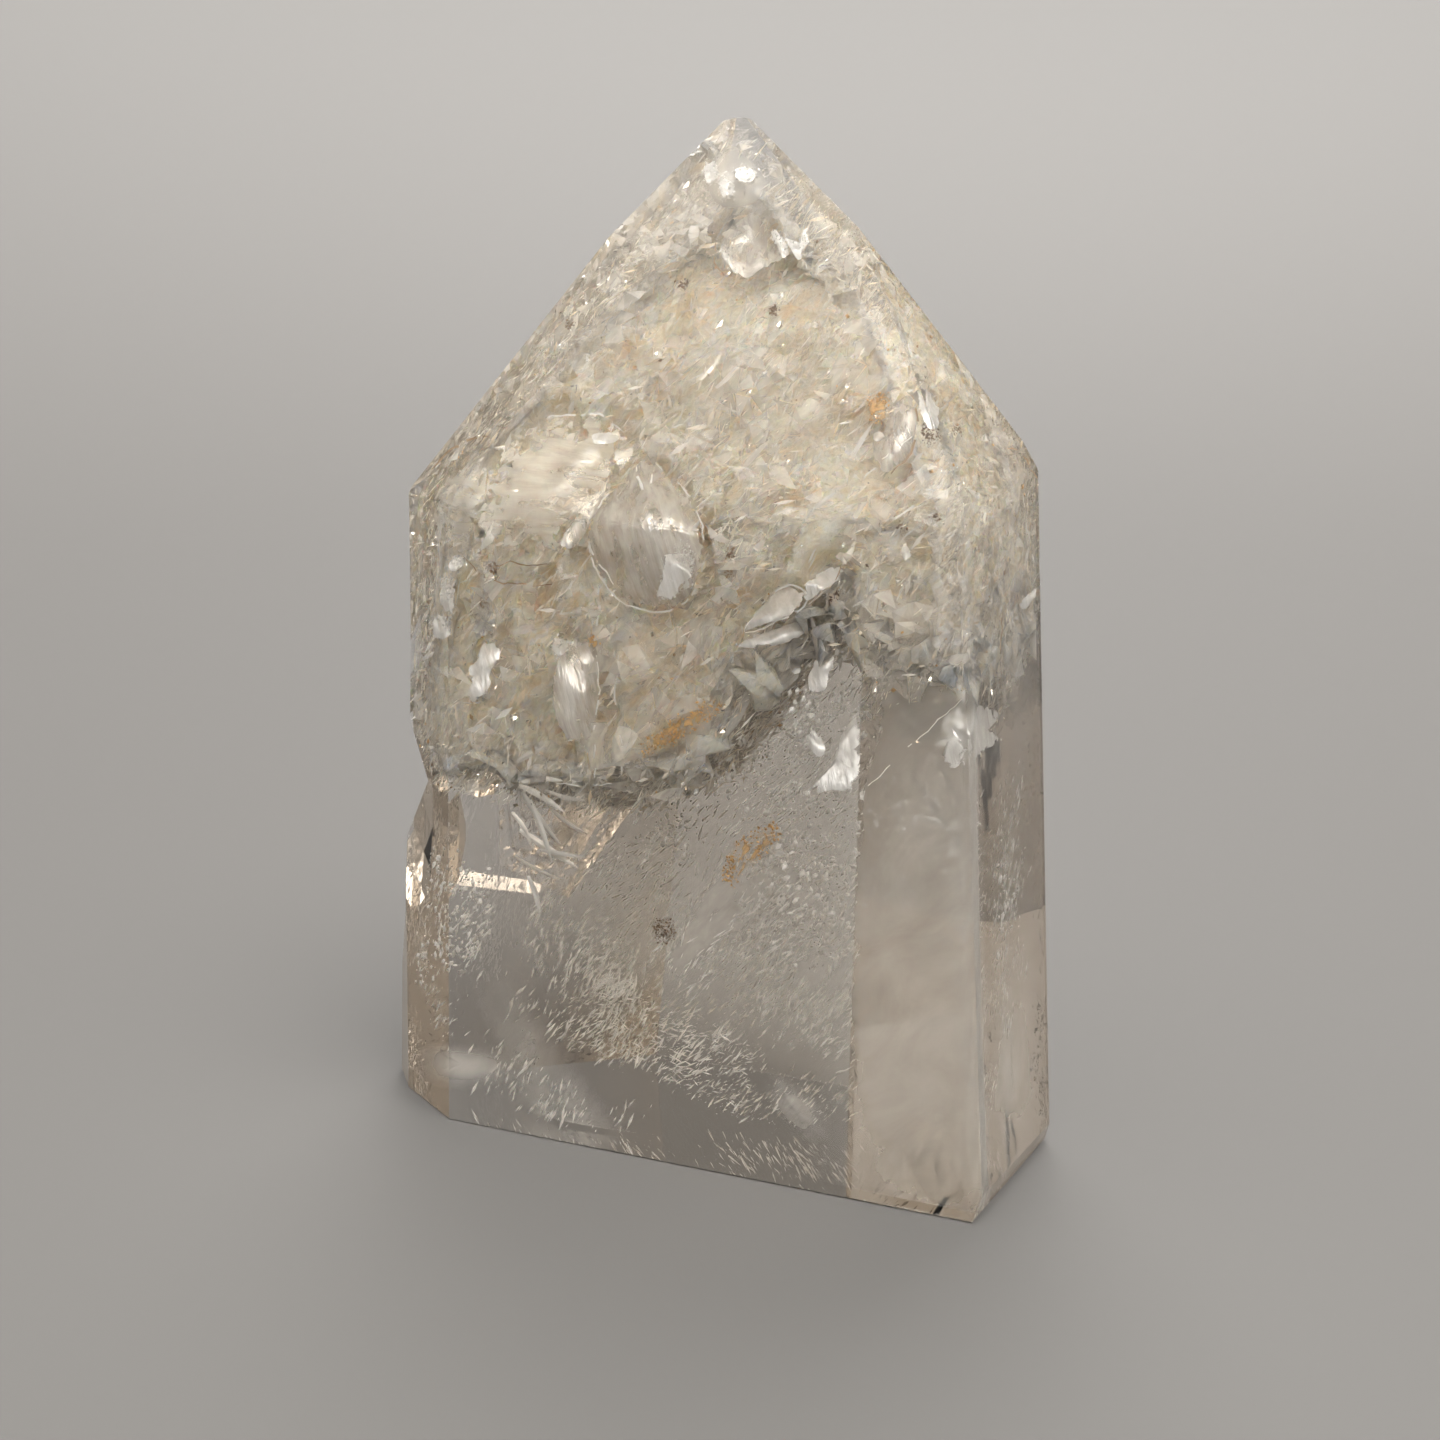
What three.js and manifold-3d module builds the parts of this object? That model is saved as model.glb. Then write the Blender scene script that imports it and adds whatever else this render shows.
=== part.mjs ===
// Skeletal quartz crystal: a cut and polished tower of one natural crystal that stands on its sawn foot.
// Millimetres and degrees, +Z up. The origin is in the middle of the tower's outline, at table level,
// and the broad front face looks along -Y.

import * as THREE from 'three';
import { mergeVertices } from 'three/addons/utils/BufferGeometryUtils.js';
import Module from 'manifold-3d';

// Driving dimensions of the whole tower: where the prism ends, the sharp apex, and the block it is cut from.
const SHOULDER_LEVEL = 77;
const APEX_LEVEL = 121.4;
const APEX_ACROSS = 1;
const APEX_BACK = -1;
const BLANK = { width: 110, depth: 80, height: 130 };

// A flat face is given by the way it looks round the tower (heading, 0 along +X, 90 along +Y), by its
// steepness (slope, 90 upright, over 90 leaning out), and by how far it stands from the middle line
// (reach) at a level.
const PRISM_FACES = {
  front: { heading: -90, slope: 89, reach: 23 },
  right: { heading: -5.4, slope: 86, reach: 41.9 },
  backRight: { heading: 49.7, slope: 88.9, reach: 27 },
  back: { heading: 90, slope: 88, reach: 23 },
  backLeft: { heading: 140.3, slope: 84.6, reach: 24.2 },
  leftCorner: { heading: -140.2, slope: 88.3, reach: 40.2 },
  left: { heading: -122.4, slope: 88.3, reach: 34.8 },
};
const TOP_FACES = {
  front: { heading: -89.4, slope: 65.4, reach: 21.3 },
  right: { heading: -9.9, slope: 56.5, reach: 39.2 },
  backRight: { heading: 33.7, slope: 51.1, reach: 36.1 },
  back: { heading: 90, slope: 64.5, reach: 20.2 },
  backLeft: { heading: 143.4, slope: 65.4, reach: 18.9 },
  left: { heading: -120.8, slope: 57.3, reach: 32.1 },
};
const WORN_EDGES = {
  sliver: { heading: -11, slope: 84.3, reach: 37.5, level: SHOULDER_LEVEL },
  rightShoulder: { heading: 18.1, slope: 59.8, reach: 38.1, level: SHOULDER_LEVEL },
  leftShoulder: { heading: -152.2, slope: 66.8, reach: 38.6, level: SHOULDER_LEVEL },
  footBevel: { heading: -6.4, slope: 106.3, reach: 41, level: 0 },
};

// The worn tip: above its level only what lies inside a small ball under the sharp apex is left.
const TIP = { level: 118.3, radius: 5.1, drop: 6.4, across: 0.35, sides: 28, rings: 28 };

// The tower's left corner, taken as a narrow face square to the line from the middle through the corner.
const CORNER = { heading: -158.5, slope: 85.9, reach: 43.8 };

// Natural hollows that the polish left open, along the left corner and on the faces behind it. Each scoop
// has a place on its face, how deep it bites, and the half-sizes of the rounded tool that bites.
const { backLeft, right } = PRISM_FACES;
const SCOOPS = {
  longDip: { on: CORNER, along: 0, level: 36, depth: 1.05, across: 15, tall: 110, inward: 16 },
  cornerLow: { on: backLeft, along: 28, level: 31, depth: 0.8, across: 13, tall: 19, inward: 6 },
  cornerHigh: { on: backLeft, along: 27, level: 54, depth: 0.7, across: 12, tall: 16, inward: 6 },
  notchBack: { on: backLeft, along: 30, level: 43.5, depth: 1.1, across: 9, tall: 11, inward: 6 },
  behindCorner: { on: backLeft, along: 19, level: 43, depth: 0.6, across: 11, tall: 12, inward: 5 },
  rightChip: { on: right, along: 5.8, level: 70.5, depth: 0.35, across: 1.8, tall: 1.6, inward: 2 },
};
const SCOOP_DETAIL = 3;
const RIPPLE = { along: 4.3, turn: 2.6, cross: 3.4, height: 0.24 };

// The open notch where the corner is broken away: a wedge with a level edge inside the stone.
const NOTCH = { heading: -158, out: 36.9, level: 42.7, mouth: 6, rise: 15.5, fall: 14, half: 14 };

// The stepped hollow on the back left face, the mark of a skeletal crystal: ledges of one six-sided
// outline, each smaller, deeper and turned a little from the last.
const LEDGES = { level: 38, alongFace: 8 };
const LEDGE_OUTLINE = [[-0.1, -0.5], [0.44, -0.34], [0.5, 0.1], [0.22, 0.5], [-0.34, 0.44], [-0.5, -0.06]];
const LEDGE_STEPS = [
  { wide: 22, tall: 28, deep: 0.6, slip: 0, rise: 0, turn: 4 },
  { wide: 17.5, tall: 21, deep: 1.3, slip: 1.1, rise: 0.9, turn: -3 },
  { wide: 12, tall: 15.5, deep: 2.1, slip: 2.2, rise: 0.3, turn: 6 },
  { wide: 7.5, tall: 9.5, deep: 3, slip: 3, rise: -0.8, turn: -5 },
];

// Points closer than this are one point of a solid.
const SAME_POINT = 1e-4;

const wasm = await Module();
wasm.setup();

function toManifold(geometry) {
  const bare = geometry.clone();
  bare.deleteAttribute('normal');
  bare.deleteAttribute('uv');
  const merged = mergeVertices(bare, SAME_POINT);
  return new wasm.Manifold(new wasm.Mesh({
    numProp: 3,
    vertProperties: new Float32Array(merged.attributes.position.array),
    triVerts: new Uint32Array(merged.index.array),
  }));
}

function toGeometry(solid) {
  const mesh = solid.getMesh();
  const geometry = new THREE.BufferGeometry();
  geometry.setAttribute('position', new THREE.BufferAttribute(new Float32Array(mesh.vertProperties), 3));
  geometry.setIndex(new THREE.BufferAttribute(new Uint32Array(mesh.triVerts), 1));
  return geometry;
}

function direction(heading, slope) {
  const turn = THREE.MathUtils.degToRad(heading);
  const steep = THREE.MathUtils.degToRad(slope);
  return new THREE.Vector3(
    Math.sin(steep) * Math.cos(turn),
    Math.sin(steep) * Math.sin(turn),
    Math.cos(steep),
  );
}

// A block that fills everything beyond the plane through a point, square to an outward direction.
function blockBeyond(point, outward) {
  const size = 2 * BLANK.height;
  const block = new THREE.BoxGeometry(size, size, size);
  block.translate(0, 0, size / 2);
  block.applyQuaternion(new THREE.Quaternion().setFromUnitVectors(new THREE.Vector3(0, 0, 1), outward));
  block.translate(point.x, point.y, point.z);
  return toManifold(block);
}

// The frame on a face at a level: X level along the face, Y up the face and Z out of it.
function faceFrame(level, { heading, slope, reach }) {
  const outward = direction(heading, slope);
  const along = new THREE.Vector3(0, 0, 1).cross(outward).normalize();
  const up = outward.clone().cross(along);
  const inset = level / Math.tan(THREE.MathUtils.degToRad(slope));
  const place = direction(heading, 90).multiplyScalar(reach - inset).setZ(level);
  return new THREE.Matrix4().makeBasis(along, up, outward).setPosition(place);
}

function cutFace(solid, face, level) {
  const outward = direction(face.heading, face.slope);
  const point = direction(face.heading, 90).multiplyScalar(face.reach).setZ(level);
  return solid.subtract(blockBeyond(point, outward));
}

function cutTip(solid) {
  const ball = new THREE.SphereGeometry(TIP.radius, TIP.sides, TIP.rings);
  ball.rotateX(Math.PI / 2);
  ball.translate(APEX_ACROSS + TIP.across, APEX_BACK, APEX_LEVEL - TIP.drop);
  const above = blockBeyond(new THREE.Vector3(0, 0, TIP.level), new THREE.Vector3(0, 0, 1));
  return solid.subtract(above.subtract(toManifold(ball)));
}

// A rough bite of flat chips, uneven all over, as the broken faces of the stone are.
function makeScoop({ on, along, level, depth, across, tall, inward }) {
  const ball = new THREE.IcosahedronGeometry(1, SCOOP_DETAIL);
  const position = ball.attributes.position;
  const point = new THREE.Vector3();
  for (let i = 0; i < position.count; i += 1) {
    point.fromBufferAttribute(position, i);
    const wave = Math.sin(RIPPLE.along * point.y + RIPPLE.turn * point.x) + Math.sin(RIPPLE.cross * point.x);
    point.multiplyScalar(1 + RIPPLE.height / inward * wave);
    position.setXYZ(i, point.x * across, point.y * tall, point.z * inward);
  }
  ball.translate(along, 0, inward - depth);
  ball.applyMatrix4(faceFrame(level, on));
  return toManifold(ball);
}

function makeWedge({ heading, out, level, mouth, rise, fall, half }) {
  const outline = new THREE.Shape([
    new THREE.Vector2(0, 0),
    new THREE.Vector2(mouth, -fall),
    new THREE.Vector2(mouth, rise),
  ]);
  const wedge = new THREE.ExtrudeGeometry(outline, { depth: 2 * half, bevelEnabled: false });
  wedge.translate(0, 0, -half);
  wedge.rotateX(Math.PI / 2);
  wedge.translate(out, 0, level);
  wedge.rotateZ(THREE.MathUtils.degToRad(heading));
  return toManifold(wedge);
}

function makeLedge({ wide, tall, deep, slip, rise, turn }) {
  const outline = new THREE.Shape(LEDGE_OUTLINE.map(([x, y]) => new THREE.Vector2(x * wide, y * tall)));
  const ledge = new THREE.ExtrudeGeometry(outline, { depth: BLANK.depth, bevelEnabled: false });
  ledge.rotateZ(THREE.MathUtils.degToRad(turn));
  ledge.translate(LEDGES.alongFace + slip, rise, -deep);
  ledge.applyMatrix4(faceFrame(LEDGES.level, backLeft));
  return toManifold(ledge);
}

function makeTower() {
  const blank = new THREE.BoxGeometry(BLANK.width, BLANK.depth, BLANK.height);
  blank.translate(0, 0, BLANK.height / 2);
  let solid = toManifold(blank);
  for (const face of Object.values(PRISM_FACES)) solid = cutFace(solid, face, 0);
  for (const face of Object.values(TOP_FACES)) solid = cutFace(solid, face, SHOULDER_LEVEL);
  for (const face of Object.values(WORN_EDGES)) solid = cutFace(solid, face, face.level);
  solid = cutTip(solid);
  for (const step of LEDGE_STEPS) solid = solid.subtract(makeLedge(step));
  for (const scoop of Object.values(SCOOPS)) solid = solid.subtract(makeScoop(scoop));
  return solid.subtract(makeWedge(NOTCH));
}

const quartz = new THREE.MeshStandardMaterial({ color: '#d9cfc0', roughness: 0.08, metalness: 0 });
const crystal = new THREE.Mesh(toGeometry(makeTower()), quartz);
crystal.name = 'quartz_crystal';

const group = new THREE.Group();
group.add(crystal);

export default group;
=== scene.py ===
"""A skeletal quartz crystal: a polished tower of clear quartz, cloudy with fractures in its upper part."""

import math
import random

import bmesh
import bpy
from bpy.props import FloatProperty, FloatVectorProperty, IntProperty, PointerProperty
from mathutils import Euler, Matrix, Vector, noise
from mathutils.bvhtree import BVHTree
from mathutils.kdtree import KDTree


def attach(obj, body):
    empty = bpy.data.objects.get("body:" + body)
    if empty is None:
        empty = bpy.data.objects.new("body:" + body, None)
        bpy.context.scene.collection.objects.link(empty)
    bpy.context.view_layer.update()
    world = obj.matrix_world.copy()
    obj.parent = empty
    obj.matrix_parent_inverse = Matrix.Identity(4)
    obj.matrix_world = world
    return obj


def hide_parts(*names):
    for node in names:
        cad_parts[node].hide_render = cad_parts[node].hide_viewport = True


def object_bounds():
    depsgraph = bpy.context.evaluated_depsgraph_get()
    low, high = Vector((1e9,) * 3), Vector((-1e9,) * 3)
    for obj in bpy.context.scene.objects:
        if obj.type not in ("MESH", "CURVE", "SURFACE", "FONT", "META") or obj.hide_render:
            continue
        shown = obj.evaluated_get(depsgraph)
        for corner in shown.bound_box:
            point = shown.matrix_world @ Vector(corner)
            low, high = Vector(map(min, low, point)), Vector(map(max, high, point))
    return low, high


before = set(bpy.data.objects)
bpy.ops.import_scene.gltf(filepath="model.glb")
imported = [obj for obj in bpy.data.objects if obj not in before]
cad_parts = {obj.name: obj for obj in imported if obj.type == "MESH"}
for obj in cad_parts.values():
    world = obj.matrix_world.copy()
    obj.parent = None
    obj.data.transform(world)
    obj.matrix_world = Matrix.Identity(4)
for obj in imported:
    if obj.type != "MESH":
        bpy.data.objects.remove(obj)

bl_info = {
    "name": "Skeletal Quartz Crystal",
    "version": (1, 0, 0),
    "blender": (4, 5, 0),
    "location": "View3D > Sidebar > Quartz",
    "description": "Builds a polished quartz tower with its fractures, veils and stains",
    "category": "Add Mesh",
}

CAD_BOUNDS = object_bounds()
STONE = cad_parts["quartz_crystal"]
STONE_TREE = BVHTree.FromPolygons([vert.co for vert in STONE.data.vertices],
                                  [face.vertices[:] for face in STONE.data.polygons])
MM = 0.001
# The way in which the fibres and needles of the stone grow, up and to the right.
GROWTH = Vector((0.62, 0.12, 0.78)).normalized()
# The ways in which the broad front face and the right face look.
FRONT, RIGHT = Vector((0.0, -1.0, 0.02)), Vector((0.993, -0.094, 0.07))

# The camera of the photograph. Places that are given by a pixel are pixels of this view.
PHOTO_SIDE = 1440
LENS, SENSOR = 50.0, 36.0
CAMERA_PLACE = Vector((0.0904, -0.2210, 0.1128))
CAMERA_TURN = Euler((math.radians(75.0), 0.0, math.radians(22.6)))

# About how much of the front face one pixel shows, and the least depth of anything drawn behind a face.
PIXEL = 0.12
LEAST_DEPTH = 0.55

# How far behind its face a chip is put that would stand out of the stone.
CHIP_GAP = 0.1 * MM

# Outlines of fractures that can be told apart, in pixels of the photograph.
BROAD_SLAB = ((493, 457), (526, 426), (549, 417), (602, 415), (623, 434), (633, 453), (610, 482), (596, 509),
              (589, 524), (564, 541), (556, 553), (510, 556), (493, 562), (482, 553), (478, 539), (484, 512))
OUTER_SLAB = ((437, 502), (446, 480), (462, 466), (486, 456), (486, 480), (482, 510), (474, 540), (462, 552),
              (444, 545), (434, 524))
CREAM_COLUMN = ((522, 585), (539, 584), (538, 602), (535, 620), (524, 618), (521, 600))
ALMOND = ((642, 456), (660, 466), (677, 482), (690, 497), (699, 515), (704, 540), (702, 572), (692, 596),
          (669, 610), (640, 610), (616, 598), (600, 578), (590, 553), (589, 530), (598, 508), (614, 486),
          (630, 468))
ALMOND_SIDE = ((612, 482), (604, 500), (592, 522), (580, 542), (566, 550), (560, 540), (572, 522), (590, 500))
APEX_BOWL = ((719, 247), (729, 265), (745, 281), (758, 274), (770, 265), (788, 255), (783, 241), (768, 229),
             (762, 219), (750, 214), (736, 222), (724, 234))
BROWN_RIMMED = ((911, 395), (917, 408), (918, 426), (911, 453), (903, 463), (890, 473), (880, 469),
                (874, 458),
                (873, 440), (883, 430), (888, 415), (900, 400))
# The crescent, its lobe and its foot are real fractures, painted white in part where they reflect light: a
# painted highlight.
CRESCENT = ((745, 632), (752, 618), (762, 604), (775, 592), (790, 585), (801, 588), (808, 600), (797, 612),
            (780, 620), (765, 628))
CRESCENT_LOBE = ((801, 590), (815, 576), (832, 567), (843, 567), (839, 580), (822, 592), (806, 601))
CRESCENT_FOOT = ((735, 645), (755, 634), (775, 627), (800, 622), (813, 627), (793, 640), (762, 648))
GLASSY_LOWER = ((560, 650), (590, 640), (600, 670), (598, 710), (590, 740), (566, 738), (552, 700))
# Painted highlights: white patches that stand in for light reflected by fractures on the slab and at the
# left.
SLAB_PAINTED_HIGHLIGHT = ((493, 518), (500, 524), (495, 539), (480, 551), (485, 535))
SLAB_HIGHLIGHT_STREAK = ((588, 434), (602, 431), (617, 434), (618, 441), (604, 444), (591, 443))
LEFT_PAINTED_HIGHLIGHTS = (((449, 562), (458, 556), (466, 558), (464, 567), (452, 572)),
               ((441, 580), (449, 577), (456, 592), (452, 612), (444, 616), (440, 600)),
               ((430, 618), (442, 614), (451, 622), (449, 636), (436, 638)),
               ((553, 639), (562, 638), (568, 646), (564, 655), (555, 656)))
# The almond's rough, frosted side with a painted highlight: a white patch and white chips stand in for its
# sparkle.
ALMOND_FROST_HIGHLIGHT = ((677, 516), (687, 524), (690, 543), (696, 560), (688, 588), (668, 602), (657, 595),
                (663, 570),
                (664, 547), (670, 530))
# Painted highlights at the apex, with a bright hook beside them.
APEX_PAINTED_HIGHLIGHTS = (((704, 165), (712, 161), (719, 170), (716, 181), (706, 182)),
               ((718, 176), (728, 171), (735, 183), (731, 197), (720, 198)),
               ((735, 170), (748, 167), (757, 173), (750, 182), (738, 181)),
               ((771, 232), (779, 233), (789, 251), (784, 259), (777, 246)),
               ((719, 250), (725, 250), (733, 264), (741, 278), (731, 270)))
APEX_HOOK = ((805, 224), (811, 235), (807, 247), (799, 260), (791, 249), (785, 238), (792, 242), (799, 249),
             (803, 240))
# Painted highlights at the right.
RIGHT_PAINTED_HIGHLIGHTS = (((873, 433), (880, 430), (885, 436), (880, 441), (874, 440)),
                ((901, 548), (906, 543), (911, 554), (907, 562), (903, 558)),
                ((1019, 606), (1028, 594), (1037, 588), (1034, 600), (1024, 610)),
                ((917, 386), (931, 392), (940, 412), (936, 430), (925, 424), (918, 404)))
# Painted light: white patches where clear gaps show bright light through the stone.
PAINTED_LIGHT_WINDOWS = (((497, 640), (502, 655), (492, 670), (490, 690), (478, 704), (466, 698), (472, 682), (468, 670),
            (478, 655), (484, 640)),
           ((812, 664), (824, 656), (836, 652), (832, 672), (826, 690), (812, 692), (808, 680)),
           ((858, 715), (858, 785), (832, 790), (806, 794), (822, 778), (832, 762), (838, 745), (846, 725)),
           ((803, 737), (815, 730), (826, 748), (818, 757)))
PETALS = (((965, 700), (952, 712), (940, 722), (945, 735), (935, 745), (952, 750), (940, 762), (965, 765)),
          ((966, 712), (985, 706), (1000, 716), (990, 728), (1002, 740), (985, 750), (975, 762), (966, 758)))
OCHRE_BLOTS = (((640, 740), (665, 725), (700, 702), (722, 700), (716, 716), (690, 735), (660, 752),
                (642, 757)),
               ((727, 855), (735, 842), (760, 828), (775, 822), (779, 838), (765, 855), (745, 870),
                (735, 885),
                (722, 880)),
               ((586, 636), (596, 634), (600, 644), (592, 650)),
               ((866, 398), (880, 392), (894, 400), (890, 420), (874, 426), (866, 412)))
DARK_BLOTS = (((654, 922), (668, 918), (678, 928), (672, 940), (658, 942)),
              ((922, 420), (932, 430), (936, 442), (926, 444)),
              ((954, 426), (962, 430), (960, 438), (953, 436)),
              ((678, 280), (690, 282), (686, 289), (677, 288)),
              ((770, 306), (779, 308), (776, 317), (770, 316)),
              ((566, 316), (575, 318), (574, 327), (567, 327)),
              ((726, 548), (734, 549), (733, 558), (727, 558)),
              ((726, 571), (735, 571), (734, 580), (727, 580)),
              ((829, 590), (838, 591), (837, 600), (829, 599)),
              ((899, 523), (907, 524), (906, 531), (900, 531)),
              ((932, 513), (940, 515), (938, 521), (932, 521)),
              ((489, 563), (498, 565), (496, 573), (489, 572)),
              ((481, 598), (489, 600), (487, 607), (481, 606)))
# Lines of dark cracks and of bright seams, each with its width in pixels.
DARK_CRACKS = ((1.3, ((464, 556), (480, 574), (503, 585), (522, 583), (541, 586), (552, 584), (564, 576))),
               (1.3, ((493, 566), (510, 562), (528, 566), (548, 565), (560, 556), (566, 552))),
               (2.6, ((911, 395), (917, 408), (918, 426), (911, 453), (903, 463), (890, 473))),
               (1.6, ((1003, 612), (1001, 640), (999, 668))), (1.6, ((1007, 449), (1022, 451), (1036, 479))),
               (2.2, ((432, 470), (446, 452), (466, 440), (488, 436))),
               (1.8, ((716, 240), (714, 262), (724, 276), (744, 290))),
               (1.4, ((842, 566), (833, 590), (829, 606))))
BRIGHT_SEAMS = ((2.0, ((599, 585), (598, 610), (596, 637))),
                (1.8, ((597, 655), (600, 690), (594, 730), (595, 778))),
                (1.8, ((618, 655), (615, 700), (621, 740), (622, 775))),
                (1.4, ((556, 783), (584, 787), (612, 783))),
                (2.6, ((635, 467), (640, 480), (646, 505))), (2.6, ((652, 474), (653, 497), (658, 535))),
                (2.0, ((589, 530), (590, 545), (596, 560), (614, 584))),
                (2.0, ((642, 962), (660, 944), (681, 928))),
                (1.8, ((526, 426), (552, 416), (600, 414), (624, 433))),
                (1.2, ((865, 790), (912, 744), (962, 700))),
                (2.0, ((895, 519), (918, 503), (940, 486))), (1.8, ((860, 482), (890, 452), (912, 436))))
# Milky zones of the clear stone; the lower left one is pale haze painted where the base shows a reflection of
# the pale floor.
MILK_TIP = ((735, 116), (762, 140), (795, 186), (778, 222), (735, 234), (694, 220), (682, 184), (712, 138))
MILK_LEFT_PAINTED_REFLECTION = ((412, 1046), (440, 1040), (490, 1046), (524, 1056), (520, 1078), (480, 1092), (430, 1088),
             (408, 1070))
# Splinters from root to tip, each with its width in pixels.
SPLINTERS = ((9, (522, 792), (561, 845)), (7, (519, 785), (564, 812)), (6, (517, 762), (545, 747)),
             (6, (522, 782), (563, 781)), (7, (530, 800), (552, 862)), (6, (545, 790), (585, 800)),
             (5, (548, 806), (587, 834)), (8, (520, 830), (578, 868)), (5, (514, 856), (562, 880)),
             (6, (528, 876), (540, 915)), (5, (540, 850), (586, 858)), (5, (512, 812), (532, 848)),
             (6, (700, 380), (722, 352)), (5, (716, 388), (742, 360)), (6, (676, 560), (700, 520)),
             (5, (850, 460), (872, 424)), (5, (806, 520), (836, 492)), (6, (742, 470), (770, 440)))

# Where veils hang in the clear stone: pixel across and down, depth, width and height in millimetres, turn.
FLECKED = ((818, 850, 7, 11, 14, 0.1), (800, 905, 9, 13, 12, 0.1), (905, 815, 5, 6, 7, 0.0),
           (745, 755, 6, 12, 12, 0.3), (665, 840, 10, 6, 9, 0.0), (450, 930, 6, 8, 18, -0.3),
           (835, 700, 6, 9, 14, 0.2), (1010, 900, 5, 6, 12, 1.4))
STROKED = ((806, 960, 8, 16, 14, 0.1), (740, 930, 12, 18, 16, 0.2), (1008, 880, 5, 7, 24, 1.4),
           (1012, 1000, 4, 7, 18, 1.4), (600, 950, 12, 20, 24, 0.0), (455, 950, 5, 8, 16, -0.3),
           (560, 1110, 7, 26, 8, 0.0))
RIPPLED = ((665, 1040, 8, 24, 9, -0.1), (915, 912, 5, 7, 6, 0.1), (880, 958, 5, 5, 4, 0.0),
           (940, 840, 5, 5, 5, 0.0))
FINE_VEILS = ((800, 900, 8, 20, 34, 0.2), (670, 1045, 9, 30, 9, -0.2), (450, 950, 6, 10, 20, -0.3),
              (600, 960, 11, 18, 24, 0.0), (815, 730, 6, 14, 22, 0.2), (640, 850, 8, 12, 14, 0.1),
              (730, 960, 24, 40, 36, 0.15))

# Sheets of haze: pixel across and down, depth, width and height in millimetres, and lean.
# The sheets low at the bottom and at the lower right also paint the pale reflection of the floor seen in the
# base.
HAZE_SHEETS = ((760, 930, 10, 34, 40, 0.7), (560, 1100, 9, 44, 12, 1.4), (640, 880, 16, 26, 34, 0.3),
               (798, 1108, 5, 11, 6, 0.9), (1008, 1080, 4, 8, 26, 0.1), (810, 720, 9, 16, 22, 0.7))

# Milky sheets: the same measures, the way each faces, and how clear its middle is. They paint pale haze where
# the stone shows reflected and seen-through light.
# They are larger than the faces that they lie behind, so what would stand out of the stone is drawn in behind
# the faces round them.
MILK_AND_PAINTED_REFLECTION_SHEETS = ((928, 945, 3.5, 40, 150, FRONT, 0.0), (1010, 690, 2.5, 46, 60, RIGHT, 0.45),
               (1012, 1070, 2.5, 50, 70, RIGHT, 0.35))


# Sizes and colours


class QuartzBodySettings(bpy.types.PropertyGroup):
    """The clear stone itself"""

    edge_round: FloatProperty(name="Edge rounding", description="Width of the worn edges", default=0.22 * MM,
                              min=0.0, unit="LENGTH")
    ior: FloatProperty(name="Refraction", description="Refractive index of quartz", default=1.544, min=1.0)
    tint: FloatVectorProperty(name="Tint", description="Colour that the stone lets through",
                              default=(0.82, 0.76, 0.68),
                              min=0.0, max=1.0, subtype="COLOR")
    depth_of_tint: FloatProperty(name="Depth of tint",
                                 description="How strongly the stone takes light up, per metre",
                                 default=30.0, min=0.0)


class QuartzCloudSettings(bpy.types.PropertyGroup):
    """The cloudy mass of fractures in the upper part"""

    seed: IntProperty(name="Seed", description="Choice of the folds and breaks", default=3)
    facet: FloatProperty(name="Facet", description="Finest facets of the broken mass", default=0.75 * MM,
                         unit="LENGTH")
    film_step: FloatProperty(name="Film pieces", description="Size of the pieces that a film is broken into",
                             default=2.0 * MM, unit="LENGTH")
    flake_share: FloatProperty(name="Flakes", description="Flakes for each square metre of film",
                               default=1.1e6)
    fibre_share: FloatProperty(name="Fibres", description="Fibres for each square metre of film",
                               default=1.2e6)
    glint_share: FloatProperty(name="Glints", description="Bright glints for each square metre of film",
                               default=9.0e5)
    grain_share: FloatProperty(name="Grains", description="Brown grains for each square metre of film",
                               default=2.5e5)
    shells: IntProperty(name="Shells", description="Number of curved fractures", default=150, min=0)
    tan: FloatVectorProperty(name="Tan", description="Colour in the depth of the cloud",
                             default=(0.86, 0.72, 0.52),
                             min=0.0, max=1.0, subtype="COLOR")
    cream: FloatVectorProperty(name="Cream", description="Colour of the cloud", default=(0.96, 0.89, 0.76),
                               min=0.0, max=1.0, subtype="COLOR")
    # The same white is given to the painted highlight patches.
    white: FloatVectorProperty(name="White", description="Colour of the palest fractures",
                               default=(0.985, 0.97, 0.93),
                               min=0.0, max=1.0, subtype="COLOR")
    ochre: FloatVectorProperty(name="Ochre", description="Colour of the iron stains",
                               default=(0.62, 0.36, 0.12),
                               min=0.0, max=1.0, subtype="COLOR")
    umber: FloatVectorProperty(name="Umber", description="Colour of the darkest grains",
                               default=(0.13, 0.08, 0.05),
                               min=0.0, max=1.0, subtype="COLOR")


class QuartzVeilSettings(bpy.types.PropertyGroup):
    """The veils of needles and flecks in the clear lower part"""

    needle_share: FloatProperty(name="Needles", description="Thin needles for each square metre of veil",
                                default=6.0e6)
    fleck_share: FloatProperty(name="Flecks", description="Round flecks for each square metre of veil",
                               default=2.4e6)
    stroke_share: FloatProperty(name="Strokes", description="Long strokes for each square metre of veil",
                                default=1.8e6)
    ripple_share: FloatProperty(name="Ripples", description="Wavy strokes for each square metre of veil",
                                default=3.0e6)


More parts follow.
